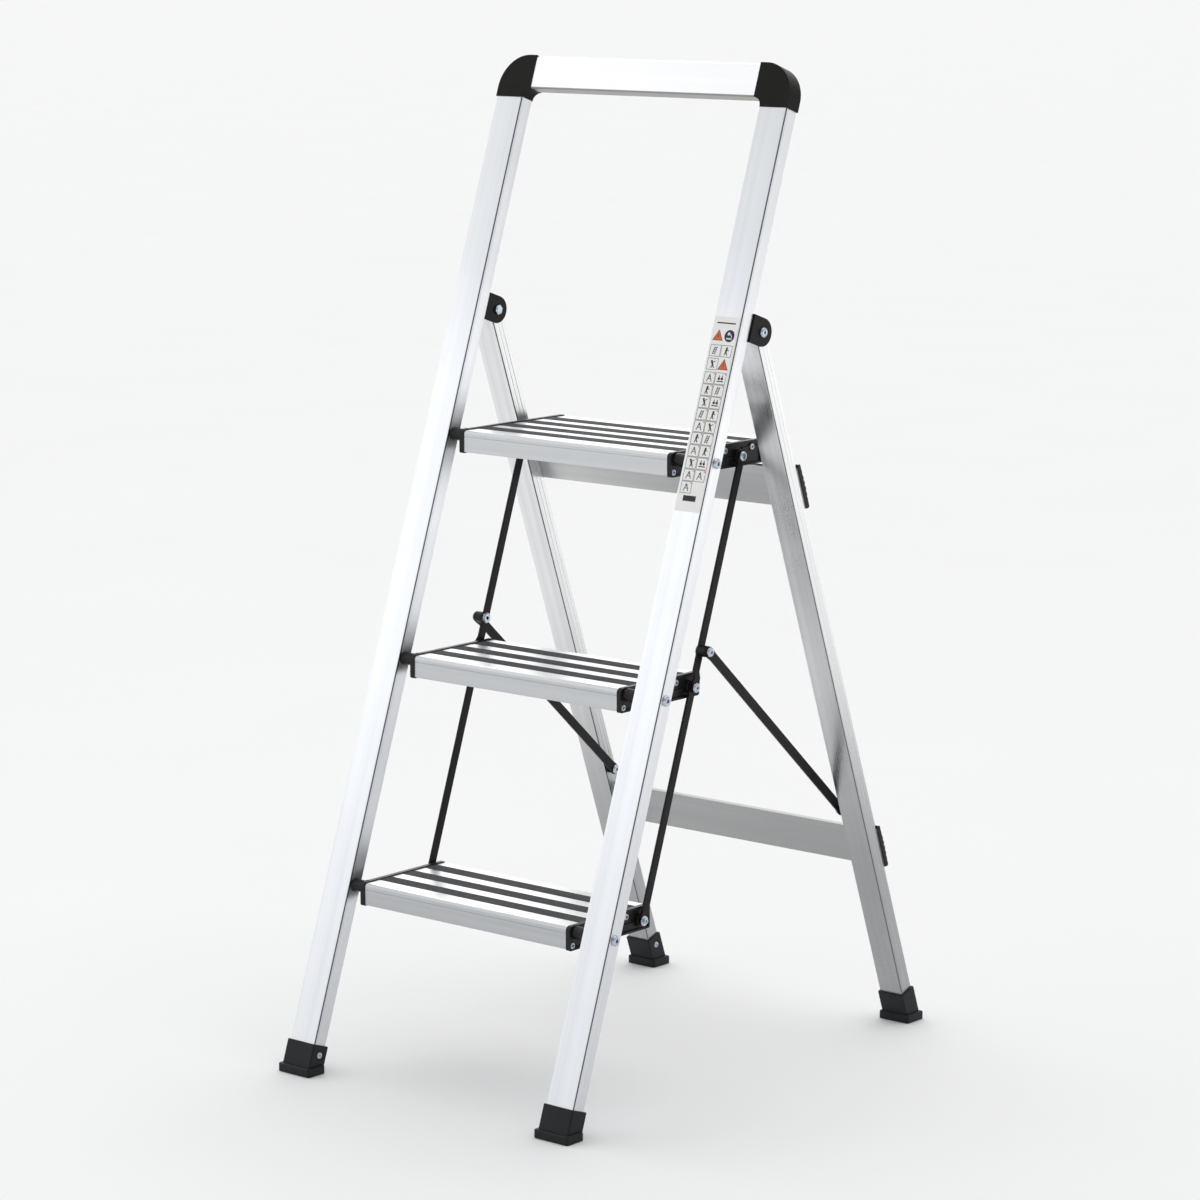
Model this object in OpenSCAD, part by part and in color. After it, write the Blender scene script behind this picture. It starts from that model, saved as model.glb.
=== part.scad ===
// Folding step ladder: a handrail frame, a rear frame hinged behind it, two steps and a platform
// that swing up together through tie bars, and a pair of braces from the tie bars to the rear legs.
// +X is to the user's right, +Y to the rear, +Z up. The origin is on the floor, at the middle of
// the feet. Every right-hand piece is drawn at positive X and mirrored for the left.

/* [Overall] */
// Width over the outer faces of the front stiles
frame_w = 408.6; // [380:0.2:500]
// Depth over the soles of the front and rear feet, when open
frame_d = 622.4; // [520:0.2:680]
// Length along a front stile, from the floor to the top of the handrail
stile_run = 1152.5; // [1060:0.5:1400]
// Lean of the front stiles from the vertical, in degrees
stile_lean = 18.95; // [15:0.05:21]

/* [Front stiles and handrail] */
// Width of a stile across its front face
stile_w = 36.5; // [30:0.1:44]
// Depth of a stile from front to back
stile_t = 18.8; // [17:0.1:23]
// Wall of the stile, leg and handrail tubes
tube_wall = 1.6; // [1.2:0.1:2.4]
// Height of the stile's front lip over its side faces
lip_h = 0.5; // [0.2:0.1:0.8]
// Depth of the front lip, from front to back
lip_t = 3.2; // [2:0.1:4]
// Height of the handrail, along the stiles
rail_h = 37; // [28:0.5:46]
// Inner end of a corner piece, outward from the handrail's middle
corner_reach = 46.3; // [42:0.1:60]
// How far the corner pieces stand proud of the tubes
corner_proud = 0.9; // [0.4:0.1:1.5]
// Radius of the hollow under a corner piece
corner_hollow_r = 10.5; // [6:0.5:14]

/* [Rear frame] */
// Width of a rear leg across its front face
leg_w = 30.7; // [26:0.1:34]
// Depth of a rear leg from front to back
leg_t = 18.9; // [17:0.1:22]
// Gap from the stile's inner face line outward to the leg's inner face
leg_inset = 4.5; // [3.5:0.1:6]
// Height of a crossbar, along the legs
crossbar_h = 47; // [40:0.2:56]
// Depth of a crossbar, behind the legs
crossbar_t = 4.6; // [4:0.1:9]
// Place of the lower crossbar's top edge, along the leg below the hinge
lower_crossbar_drop = 615.5; // [605:0.5:660]
// Place of the upper crossbar's top edge, along the leg below the hinge
upper_crossbar_drop = 166; // [162:0.2:200]

/* [Hinge] */
// Place of the hinge bolt, along the stile from the floor
hinge_run = 871; // [820:0.5:900]
// Distance of the hinge bolt behind the stile's rear face
hinge_back = 19.2; // [18:0.1:24]
// Thickness of the hinge bracket's cheeks and web
hinge_plate = 2.6; // [2:0.1:3]
// Radius of the hinge bracket's rounded cheeks
hinge_cheek_r = 15.2; // [12:0.1:16]

/* [Steps and platform] */
// Rise from one step to the next
step_rise = 240; // [220:1:260]
// Height of the lowest step's pivot above the floor
first_pivot_h = 200; // [180:1:230]
// Width of a tread between its end brackets
tread_w = 290.8; // [260:0.2:300]
// Height of a tread's front face
tread_h = 24; // [20:0.5:28]
// Height of a tread's top above its pivot
tread_rise = 6.3; // [5:0.1:8]
// Distance of a tread's front face forward of its pivot
tread_nose = 8.6; // [7:0.1:12]
// Depth of the two steps
step_d = 128; // [124:0.5:140]
// Depth of the platform
platform_d = 168.5; // [160:0.5:180]
// Wall of the tread extrusion
tread_wall = 1.8; // [1.4:0.1:2.4]
// Width of a grip strip
grip_w = 20; // [12:0.2:22]
// Thickness of a grip strip
grip_t = 1.6; // [1:0.1:2]
// Middle of the first grip strip, behind the step's pivot
grip_first = 24; // [20:0.5:28]
// Spacing of the grip strips
grip_pitch = 36; // [30:0.5:38]

/* [Step brackets] */
// Thickness of a bracket's plate
bracket_plate = 3; // [2.4:0.1:3.4]
// Height of the rim around the bracket's outer face
bracket_rim = 2.4; // [1.5:0.1:2.6]
// How far the bracket stands proud of the tread's outline
bracket_proud = 1.2; // [0.6:0.1:2]
// Distance of the tie bolt behind the pivot
tie_back = 104.5; // [100:0.5:108]
// Distance of the tie bolt below the pivot
tie_drop = 7.5; // [5:0.1:8.5]

/* [Tie bars and braces] */
// Width of a tie bar
tie_w = 9.6; // [8:0.1:11]
// Thickness of the tie bars and braces
bar_t = 2.8; // [2.2:0.1:3]
// Gap from the bracket's rim to the tie bar's inner face
tie_gap = 2.4; // [1.8:0.1:3]
// Place of the brace's upper pivot, along the upper tie bar from its lower bolt
brace_run = 40; // [36:0.5:46]
// Place of the brace's lower pivot, along the rear leg below the hinge
brace_drop = 589; // [580:0.5:592]
// Width of a brace
brace_w = 10.4; // [8:0.1:11.5]
// Gap from a brace's outer face to the leg's inner face
brace_gap = 4.5; // [4:0.1:6]

/* [Bolts and rivets] */
// Radius of the pivot bolts' shanks
pivot_r = 4; // [3:0.1:4.5]
// Radius of the tie and brace bolts' shanks
tie_r = 3; // [2.5:0.1:3.5]
// Radius of the pivot bolts' domed heads
pivot_head_r = 5.8; // [5:0.1:6.4]
// Radius of the tie and brace bolts' domed heads
tie_head_r = 5.3; // [4.6:0.1:6]
// Radius of the pivot bushes
bush_r = 7; // [6:0.1:7.5]
// Radius of the rivet heads
rivet_head_r = 3.6; // [3:0.1:4.5]
// Radial clearance of every pin that turns in a hole
running_gap = 0.05; // [0.02:0.01:0.1]
// End clearance between faces that turn past each other
face_gap = 0.2; // [0.1:0.05:0.4]

/* [Feet] */
// Height of a foot's sleeve, along its tube
foot_h = 36; // [28:0.5:46]
// Wall of a foot's sleeve
foot_wall = 2.2; // [1.6:0.1:2.8]
// Height of a foot's sole
sole_h = 9.5; // [8:0.1:12]
// Overhang of the sole at the sides of its tube
sole_side = 5.2; // [4:0.1:6]
// Overhang of the sole in front of and behind its tube
sole_end = 3.3; // [2.8:0.1:5]
// Thickness of rubber under the end of a tube
sole_floor = 5; // [3:0.1:6]

/* [Label] */
// Place of the label's lower edge, along the right-hand stile
label_run = 667; // [640:1:700]
// Length of the label
label_h = 210; // [150:1:220]
// Width of the label
label_w = 33.4; // [26:0.2:34]

/* [Hidden] */
$fn = 48;
eps = 0.01;

LEFT = -1;
RIGHT = 1;
LOWER = 0;
MIDDLE = 1;
PLATFORM = 2;

ALUMINIUM = "#c9ccce";
BLACK_STEEL = "#232323";
BLACK_PLASTIC = "#1d1d1e";
GRIP_RUBBER = "#3a3d42";
ZINC = "#b9c0c6";

// Sideways places, outward from the middle
stile_out = frame_w / 2;
stile_in = stile_out - stile_w;
stile_side = stile_out - lip_h;
leg_in = stile_in + leg_inset;
leg_out = leg_in + leg_w;
tread_end = tread_w / 2;
plate_out = tread_end + bracket_plate;
rim_out = plate_out + bracket_rim;
tie_in = rim_out + tie_gap;
tie_out = tie_in + bar_t;
lap_in = tie_out + face_gap;
lap_out = lap_in + bar_t;
brace_out = leg_in - brace_gap;
brace_in = brace_out - bar_t;
cheek_in = leg_in - 0.3;
cheek_out = leg_out + 0.3;

// Front frame: the stile's front face meets the floor at front_y
front_y = -frame_d / 2 + sole_end;
hinge_d = stile_t + hinge_back;
hinge_y = front_y + hinge_run * sin(stile_lean) + hinge_d * cos(stile_lean);
hinge_z = hinge_run * cos(stile_lean) - hinge_d * sin(stile_lean);

// Rear frame: the leg's rear face meets the floor at rear_y, and its middle passes the hinge
rear_y = frame_d / 2 - sole_end;
hinge_reach = norm([rear_y - hinge_y, hinge_z]);
leg_lean = atan2(rear_y - hinge_y, hinge_z) - asin(leg_t / 2 / hinge_reach);
leg_y = rear_y - leg_t / cos(leg_lean);
hinge_leg_run = (leg_y - hinge_y) * sin(leg_lean) + hinge_z * cos(leg_lean);
leg_top = hinge_leg_run + 10;
leg_cap_t = 1.5;

// Step pivots lie on the middle of the stile's depth
function pivot_z(level) = first_pivot_h + level * step_rise;
function pivot_y(level) = front_y + pivot_z(level) * tan(stile_lean) + stile_t / 2 / cos(stile_lean);
function pivot_run(level) = (pivot_z(level) + stile_t / 2 * sin(stile_lean)) / cos(stile_lean);
pivot_pitch = step_rise / cos(stile_lean);

// Each level's own sizes
function tread_depth(level) = level == PLATFORM ? platform_d : step_d;
function grip_count(level) = level == PLATFORM ? 4 : 3;
function tread_back(level) = tread_depth(level) - tread_nose;
function screw_places(level) = concat(
    [[screw_front_y, screw_front_z], [screw_mid_y, 0]],
    level == PLATFORM ? [[screw_rear_y, 0]] : []);
tread_under = tread_rise - tread_h;
screw_front_y = 4 - tread_nose;
screw_front_z = tread_under + 4;
screw_mid_y = tie_back - 22;
screw_rear_y = tie_back + 24;

// Heads, fits and small details
head_h = 3.4;
tie_head_h = 2.6;
screw_head_r = 3.6;
screw_head_h = 2;
screw_r = 1.8;
rivet_head_h = 1.4;
rivet_r = 2.2;
tube_corner = 1;
tube_start = (sole_floor + stile_t * sin(stile_lean)) / cos(stile_lean);
leg_start = (sole_floor) / cos(leg_lean);
joggle = lap_in - tie_in;
joggle_start = 11;
joggle_end = 18;
bar_end_r = tie_w / 2 + 0.9;
brace_eye_r = 6;

// ---------------------------------------------------------------- placing

// Draws a right-hand piece on the chosen side
module on_side(side) {
    if (side == LEFT) mirror([1, 0, 0]) children();
    else children();
}

// X outward, Y behind the stile's front face, Z along the stile from the floor
module on_stile() translate([0, front_y, 0]) rotate([-stile_lean, 0, 0]) children();

// X outward, Y behind the leg's front face, Z along the leg from the floor
module on_leg() translate([0, leg_y, 0]) rotate([leg_lean, 0, 0]) children();

// At a step's pivot, with Y along the tread to the rear
module at_pivot(level) translate([0, pivot_y(level), pivot_z(level)]) children();

// At a step's tie bolt, with Z along the tie bar
module at_tie(level) at_pivot(level) translate([0, tie_back, -tie_drop]) rotate([-stile_lean, 0, 0]) children();

// ---------------------------------------------------------------- shapes

// A round bar or hole along X, from x0 to x1
module along_x(x0, x1, r) translate([x0, 0, 0]) rotate([0, 90, 0]) cylinder(h = x1 - x0, r = r);

// Turns a flat outline in (Y, Z) into a plate between x0 and x1
module plate_x(x0, x1) {
    translate([x0, 0, 0]) rotate([90, 0, 90]) linear_extrude(height = x1 - x0) children();
}

// A domed head on the face at x, pointing along +X, with a round or hexagonal socket
module dome_head(x, r, h, socket_r, socket_sides = 32) difference() {
    union() {
        along_x(x, x + 0.3 * h, r);
        translate([x + 0.3 * h - eps, 0, 0]) rotate([0, 90, 0]) cylinder(h = 0.4 * h + eps, r1 = r, r2 = 0.82 * r);
        translate([x + 0.7 * h - eps, 0, 0]) rotate([0, 90, 0]) cylinder(h = 0.3 * h + eps, r1 = 0.82 * r, r2 = 0.55 * r);
    }
    translate([x + 0.5 * h, 0, 0]) rotate([0, 90, 0]) cylinder(h = h, r = socket_r, $fn = socket_sides);
}

// A rectangle with rounded corners, its lower left corner at [x0, y0]
module soft_rect(x0, y0, x1, y1, r) {
    translate([x0 + r, y0]) square([x1 - x0 - 2 * r, y1 - y0]);
    translate([x0, y0 + r]) square([x1 - x0, y1 - y0 - 2 * r]);
    for (x = [x0 + r, x1 - r], y = [y0 + r, y1 - r]) translate([x, y]) circle(r = r);
}

// Outline of a tube with a lip on both sides of its front face
module lipped_outline(x0, x1, t) {
    soft_rect(x0, 0, x1, lip_t, tube_corner);
    soft_rect(x0 + lip_h, lip_t - 2 * tube_corner, x1 - lip_h, t, tube_corner);
}

// ---------------------------------------------------------------- front frame

module stile_outline() lipped_outline(stile_in, stile_out, stile_t);

corner_bottom = stile_run - rail_h - corner_hollow_r;
corner_rivet_place = [stile_out - stile_w / 2, corner_bottom - 14];
rail_rivet_place = [stile_out - corner_reach - 14, stile_run - rail_h / 2];

module stile(side) color(ALUMINIUM) on_side(side) difference() {
    on_stile() difference() {
        translate([0, 0, tube_start]) linear_extrude(height = corner_bottom - tube_start) difference() {
            stile_outline();
            translate([stile_in + lip_h + tube_wall, tube_wall])
                square([stile_w - 2 * lip_h - 2 * tube_wall, stile_t - 2 * tube_wall]);
        }
        for (place = concat(hinge_rivet_places, [corner_rivet_place]))
            translate([place[0], stile_t - 4, place[1]]) rotate([-90, 0, 0])
                cylinder(h = 8, r = rivet_r + running_gap);
        translate([0, stile_t / 2, foot_rivet_run]) along_x(stile_in - 1, stile_in + 4, rivet_r + running_gap);
    }
    for (level = [LOWER, MIDDLE, PLATFORM]) at_pivot(level)
        along_x(stile_in - 1, stile_out + 1, pivot_r + running_gap);
}

rail_end = stile_out - corner_reach;

module handrail() color(ALUMINIUM) on_stile() difference() {
    translate([-rail_end, 0, stile_run - rail_h]) rotate([90, 0, 90])
        linear_extrude(height = 2 * rail_end) difference() {
            soft_rect(0, 0, stile_t, rail_h, 2.4);
            translate([tube_wall, tube_wall]) square([stile_t - 2 * tube_wall, rail_h - 2 * tube_wall]);
        }
    for (side = [LEFT, RIGHT]) translate([side * rail_rivet_place[0], stile_t - 4, rail_rivet_place[1]])
        rotate([-90, 0, 0]) cylinder(h = 8, r = rivet_r + running_gap);
}

// Seen from the front: X across, Y along the stile
module corner_outline() {
    out = stile_out + corner_proud;
    top = stile_run + corner_proud;
    hollow_z = stile_run - rail_h - corner_hollow_r;
    bend = out - rail_end - 8;
    difference() {
        union() {
            translate([rail_end, hollow_z]) square([out - rail_end, top - bend - hollow_z]);
            translate([rail_end, top - bend - eps]) square([out - rail_end - bend, bend + eps]);
            intersection() {
                translate([out - bend, top - bend]) circle(r = bend, $fn = 96);
                translate([out - bend - eps, top - bend - eps]) square(bend + 1);
            }
        }
        translate([rail_end, hollow_z]) circle(r = corner_hollow_r);
    }
}

// A hollow elbow: its spigots fill the ends of the stile and the handrail
module corner(side) color(BLACK_PLASTIC) on_side(side) on_stile() difference() {
    union() {
        translate([0, stile_t + corner_proud, 0]) rotate([90, 0, 0])
            linear_extrude(height = stile_t + 2 * corner_proud) corner_outline();
        translate([stile_in + lip_h + tube_wall, tube_wall, corner_bottom - 28])
            cube([stile_w - 2 * lip_h - 2 * tube_wall, stile_t - 2 * tube_wall, 29]);
        translate([rail_end - 28, tube_wall, stile_run - rail_h + tube_wall])
            cube([29, stile_t - 2 * tube_wall, rail_h - 2 * tube_wall]);
    }
    translate([rail_end - 29, tube_wall + 2.5, stile_run - rail_h + tube_wall + 2.5])
        cube([27, stile_t - 2 * tube_wall - 5, rail_h - 2 * tube_wall - 5]);
    for (place = [corner_rivet_place, rail_rivet_place]) translate([place[0], stile_t - 6, place[1]])
        rotate([-90, 0, 0]) cylinder(h = 8, r = rivet_r + running_gap);
}

// Blind rivets through the tubes' rear faces into the spigots
module corner_rivets() color(ZINC) for (side = [LEFT, RIGHT]) on_side(side) on_stile() {
    for (place = [corner_rivet_place, rail_rivet_place]) translate([place[0], stile_t, place[1]])
        rotate([0, 0, 90]) {
            along_x(-4, eps, rivet_r);
            rivet_head();
        }
}

module rivet_head() dome_head(0, rivet_head_r, rivet_head_h, 1);

hinge_mid_x = (leg_in + leg_out) / 2;
hinge_rivet_places = [[hinge_mid_x, hinge_run - 8.5], [hinge_mid_x, hinge_run + 8.5]];

// A folded steel clevis: a web on the stile's rear face and two cheeks around the leg
module hinge_bracket(side) color(BLACK_STEEL) on_side(side) on_stile() difference() {
    union() {
        for (x = [cheek_in - hinge_plate, cheek_out]) translate([0, hinge_d, hinge_run])
            plate_x(x, x + hinge_plate) {
                circle(r = hinge_cheek_r, $fn = 64);
                translate([-hinge_back, -hinge_cheek_r]) square([hinge_back, 2 * hinge_cheek_r]);
            }
        translate([cheek_in - hinge_plate, stile_t, hinge_run - hinge_cheek_r])
            cube([cheek_out - cheek_in + 2 * hinge_plate, hinge_plate, 2 * hinge_cheek_r]);
    }
    translate([0, hinge_d, hinge_run])
        along_x(cheek_in - hinge_plate - 1, cheek_out + hinge_plate + 1, pivot_r + running_gap);
    for (place = hinge_rivet_places) translate([place[0], stile_t - 1, place[1]]) rotate([-90, 0, 0])
        cylinder(h = hinge_plate + 2, r = rivet_r + running_gap);
}

// Flush rivets, so that the leg's end can pass over them
module hinge_bracket_rivets() color(ZINC) for (side = [LEFT, RIGHT]) on_side(side) on_stile()
    for (place = hinge_rivet_places) translate([place[0], stile_t - tube_wall, place[1]]) rotate([-90, 0, 0]) {
        cylinder(h = tube_wall + hinge_plate, r = rivet_r);
        translate([0, 0, -1.2]) cylinder(h = 1.2, r = rivet_head_r);
        translate([0, 0, tube_wall + hinge_plate]) cylinder(h = 0.5, r = rivet_head_r);
    }

// Each hinge bolt has a domed head outside and a nut inside
module hinge_bolts() color(ZINC) for (side = [LEFT, RIGHT]) on_side(side) on_stile()
    translate([0, hinge_d, hinge_run]) {
        along_x(cheek_in - hinge_plate - 3, cheek_out + hinge_plate + eps, pivot_r);
        dome_head(cheek_out + hinge_plate, pivot_head_r - 0.3, 3, 2);
        translate([cheek_in - hinge_plate - 2.4, 0, 0]) rotate([0, 90, 0])
            cylinder(h = 2.4, r = pivot_head_r, $fn = 6);
    }

module pivot_bolts() color(ZINC) for (side = [LEFT, RIGHT], level = [LOWER, MIDDLE, PLATFORM])
    on_side(side) at_pivot(level) {
        along_x(tread_end + 0.6, stile_side + eps, pivot_r);
        dome_head(stile_side, pivot_head_r, head_h, 2.2);
    }

// Flanged bushes between the lips of the stiles hold the steps' ends off the stiles
module pivot_bushes() color(BLACK_PLASTIC) for (side = [LEFT, RIGHT], level = [LOWER, MIDDLE, PLATFORM])
    on_side(side) at_pivot(level) difference() {
        union() {
            along_x(rim_out + face_gap, stile_in, bush_r);
            along_x(stile_in - 3, stile_in, bush_r + 0.6);
            along_x(stile_in - 1, stile_in + lip_h, stile_t / 2 - lip_t - 0.2);
        }
        along_x(rim_out, stile_in + 2, pivot_r + running_gap);
    }

// ---------------------------------------------------------------- feet

// Sole block on the floor under a tube whose front and rear faces meet the floor at y0 and y1
module sole(x0, x1, y0, y1) linear_extrude(height = sole_h)
    soft_rect(x0 - sole_side, y0 - sole_end, x1 + sole_side, y1 + sole_end, 3);

module above_floor() translate([-frame_w, -frame_d, 0]) cube([2 * frame_w, 2 * frame_d, 4 * foot_h]);

foot_rivet_run = 25;

module front_foot(side) color(BLACK_PLASTIC) on_side(side) difference() {
    union() {
        sole(stile_in, stile_out, front_y, front_y + stile_t / cos(stile_lean));
        intersection() {
            on_stile() linear_extrude(height = foot_h) soft_rect(stile_in - foot_wall,
                -foot_wall, stile_out + foot_wall, stile_t + foot_wall, 2);
            above_floor();
        }
    }
    on_stile() {
        translate([0, 0, tube_start]) linear_extrude(height = foot_h) stile_outline();
        translate([0, stile_t / 2, foot_rivet_run]) along_x(stile_in - 4, stile_in + 1, rivet_r + running_gap);
    }
}

module front_foot_rivets() color(ZINC) for (side = [LEFT, RIGHT]) on_side(side) on_stile()
    translate([stile_in - foot_wall, stile_t / 2, foot_rivet_run]) {
        along_x(0, foot_wall + lip_h + tube_wall, rivet_r);
        mirror([1, 0, 0]) rivet_head();
    }

module rear_foot(side) color(BLACK_PLASTIC) on_side(side) difference() {
    union() {
        sole(leg_in, leg_out, leg_y - sole_h * tan(leg_lean) - 0.7, rear_y);
        intersection() {
            on_leg() translate([0, 0, -leg_t]) linear_extrude(height = foot_h + leg_t)
                soft_rect(leg_in - foot_wall, -foot_wall, leg_out + foot_wall, leg_t + foot_wall, 2);
            above_floor();
        }
    }
    on_leg() {
        translate([0, 0, leg_start]) linear_extrude(height = foot_h) leg_outline();
        translate([0, leg_t / 2, foot_rivet_run]) along_x(leg_in - 4, leg_in + 1, rivet_r + running_gap);
    }
}

module rear_foot_rivets() color(ZINC) for (side = [LEFT, RIGHT]) on_side(side) on_leg()
    translate([leg_in - foot_wall, leg_t / 2, foot_rivet_run]) {
        along_x(0, foot_wall + lip_h + tube_wall, rivet_r);
        mirror([1, 0, 0]) rivet_head();
    }

module pictogram_label() color("#eceef0") on_stile()
    translate([(stile_in + stile_out - label_w) / 2, -0.25, label_run]) cube([label_w, 0.25, label_h]);

// ---------------------------------------------------------------- rear frame

module leg_outline() lipped_outline(leg_in, leg_out, leg_t);

module leg(side) color(ALUMINIUM) on_side(side) on_leg() difference() {
    translate([0, 0, leg_start]) linear_extrude(height = leg_top - leg_start) difference() {
        leg_outline();
        translate([leg_in + lip_h + tube_wall, tube_wall])
            square([leg_w - 2 * lip_h - 2 * tube_wall, leg_t - 2 * tube_wall]);
    }
    translate([0, leg_t / 2, hinge_leg_run]) along_x(leg_in - 1, leg_out + 1, pivot_r + running_gap);
    translate([0, leg_t / 2, foot_rivet_run]) along_x(leg_in - 1, leg_in + 4, rivet_r + running_gap);
    for (place = crossbar_rivet_places) translate([place[0], leg_t - 4, place[1]]) rotate([-90, 0, 0])
        cylinder(h = 8, r = rivet_r + running_gap);
}

module leg_caps() color(BLACK_PLASTIC) for (side = [LEFT, RIGHT]) on_side(side) on_leg() {
    translate([0, 0, leg_top]) linear_extrude(height = leg_cap_t) leg_outline();
    translate([leg_in + lip_h + tube_wall, tube_wall, leg_top - 3])
        cube([leg_w - 2 * lip_h - 2 * tube_wall, leg_t - 2 * tube_wall, 3 + eps]);
}

// Nylon bushes between the leg's walls
module hinge_bushes() color("#e8e6df") for (side = [LEFT, RIGHT]) on_side(side) on_leg()
    translate([0, leg_t / 2, hinge_leg_run]) difference() {
        along_x(leg_in + lip_h + tube_wall, leg_out - lip_h - tube_wall, pivot_r + 2);
        along_x(leg_in, leg_out, pivot_r + running_gap);
    }

lower_crossbar_run = hinge_leg_run - lower_crossbar_drop - crossbar_h;
upper_crossbar_run = hinge_leg_run - upper_crossbar_drop - crossbar_h;
crossbar_rivet_x = leg_in + 6.5;
cap_len = 19;
cap_over = 4.6;
cap_h = crossbar_h + cap_over;
crossbar_rivet_places = [for (run = [lower_crossbar_run, upper_crossbar_run], up = [0.25, 0.75])
    [crossbar_rivet_x, run + up * crossbar_h]];

// A shallow channel on the legs' rear faces, open to the rear
module crossbar(run) color(ALUMINIUM) on_leg() difference() {
    translate([-leg_out, leg_t, run]) rotate([90, 0, 90]) linear_extrude(height = 2 * leg_out) difference() {
        square([crossbar_t, crossbar_h]);
        translate([tube_wall, tube_wall]) square([crossbar_t, crossbar_h - 2 * tube_wall]);
    }
    for (side = [LEFT, RIGHT], up = [0.25, 0.75])
        translate([side * crossbar_rivet_x, leg_t - 1, run + up * crossbar_h]) rotate([-90, 0, 0])
            cylinder(h = 4, r = rivet_r + running_gap);
}

// Ribbed plugs close the ends of a crossbar and stand a little above its top edge
module crossbar_caps(run) color(BLACK_PLASTIC) for (side = [LEFT, RIGHT]) on_side(side) on_leg()
    translate([0, leg_t, run]) {
        translate([leg_out - cap_len, tube_wall, tube_wall])
            cube([cap_len + eps, crossbar_t - tube_wall, crossbar_h - 2 * tube_wall]);
        translate([leg_out - cap_len, 0, 0]) difference() {
            plate_x(0, cap_len) intersection() {
                translate([crossbar_t, 1]) square([2.2, cap_h - 2]);
                translate([crossbar_t + 2 - 160, cap_h / 2]) circle(r = 160, $fn = 360);
            }
            for (i = [1 : 7]) translate([-1, crossbar_t + 0.7, i * cap_h / 8 - 0.8])
                cube([cap_len + 2, 3, 1.6]);
        }
        translate([leg_out, 0, 0]) plate_x(0, 1.2) soft_rect(0.4, 0, crossbar_t + 1, cap_h, 2);
    }

module crossbar_rivets() color(ZINC) for (side = [LEFT, RIGHT], place = crossbar_rivet_places)
    on_side(side) on_leg() translate([place[0], leg_t - tube_wall, place[1]]) rotate([0, 0, 90]) {
        along_x(0, 2 * tube_wall + eps, rivet_r);
        translate([2 * tube_wall, 0, 0]) rivet_head();
    }

// ---------------------------------------------------------------- steps and platform

// Seen from the right: X along the tread to the rear, Y up, the pivot at the origin
module tread_outline(level, grow = 0) {
    y0 = -tread_nose - grow;
    y1 = tread_back(level) + grow;
    z0 = tread_under - grow;
    z1 = tread_rise + grow;
    nose_r = 4 + grow;
    difference() {
        translate([y0, z0]) square([y1 - y0, z1 - z0]);
        translate([y0 - 1, z1 - nose_r]) square(nose_r + 1);
        translate([y0 - 1, z0 - 1]) square(nose_r / 2 + 1);
    }
    translate([y0 + nose_r, z1 - nose_r]) circle(r = nose_r);
    translate([y0 + nose_r / 2, z0 + nose_r / 2]) circle(r = nose_r / 2);
}

function web_places(level) = [for (i = [0 : grip_count(level) - 2])
    grip_first + (i + 0.5) * grip_pitch];

// A hollow extrusion, open below between its webs, with recesses for the grip strips
module tread(level) color(ALUMINIUM) at_pivot(level) difference() {
    plate_x(-tread_end, tread_end) difference() {
        tread_outline(level);
        bays = concat([-tread_nose + tread_wall / 2], web_places(level), [tread_back(level) - tread_wall / 2]);
        for (i = [0 : len(bays) - 2])
            translate([bays[i] + tread_wall / 2, tread_under - 1])
                square([bays[i + 1] - bays[i] - tread_wall, tread_h + 1 - grip_t - tread_wall]);
        for (i = [0 : grip_count(level) - 1])
            translate([grip_first + i * grip_pitch - grip_w / 2, tread_rise - grip_t])
                square([grip_w, grip_t + 1]);
    }
}

// Rubber strips, ribbed lengthways, that stand a little above the tread
module grips(level) color(GRIP_RUBBER) at_pivot(level) for (i = [0 : grip_count(level) - 1])
    translate([0, grip_first + i * grip_pitch, tread_rise - grip_t])
        plate_x(-tread_end, tread_end) {
            translate([-grip_w / 2, 0]) square([grip_w, grip_t]);
            for (k = [-2 : 2]) translate([k * grip_w / 5 - grip_w / 16, grip_t - eps])
                square([grip_w / 8, 0.5]);
        }

// Moulded end plates: the pivot boss and the tie boss stand on a rimmed plate
module bracket(level, side) color(BLACK_PLASTIC) on_side(side) at_pivot(level) difference() {
    union() {
        plate_x(tread_end, plate_out) tread_outline(level, bracket_proud);
        plate_x(plate_out - eps, rim_out) difference() {
            tread_outline(level, bracket_proud);
            tread_outline(level, bracket_proud - 2.2);
        }
        along_x(plate_out - eps, rim_out, bush_r + 1);
        translate([0, tie_back, -tie_drop]) along_x(plate_out - eps, tie_in - face_gap, bush_r);
        for (place = screw_places(level)) translate([0, place[0], place[1]])
            along_x(plate_out - eps, plate_out + 0.6, screw_head_r + 0.8);
    }
    along_x(tread_end + 0.5, rim_out + 1, pivot_r + running_gap);
    translate([0, tie_back, -tie_drop]) along_x(tread_end + 0.5, tie_in + 1, tie_r + running_gap);
    for (place = screw_places(level)) translate([0, place[0], place[1]]) {
        along_x(tread_end - 1, plate_out + 1, screw_r + running_gap);
        along_x(plate_out + 0.6, rim_out + 1, screw_head_r + 0.2);
    }
}

module bracket_screws(level) color(ZINC) for (side = [LEFT, RIGHT], place = screw_places(level))
    on_side(side) at_pivot(level) translate([0, place[0], place[1]]) {
        along_x(tread_end + 0.2, plate_out + 0.6 + eps, screw_r);
        dome_head(plate_out + 0.6, screw_head_r, screw_head_h, 1.2);
    }

// The bolt at the middle step passes both tie bars, the others one
module tie_bolts(level) color(ZINC) for (side = [LEFT, RIGHT]) on_side(side) at_tie(level) {
    seat = level == MIDDLE ? lap_out + face_gap : tie_out + face_gap;
    along_x(tread_end + 1, seat + eps, tie_r);
    dome_head(seat, tie_head_r, tie_head_h, 1.8);
}

// ---------------------------------------------------------------- tie bars and braces

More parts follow.
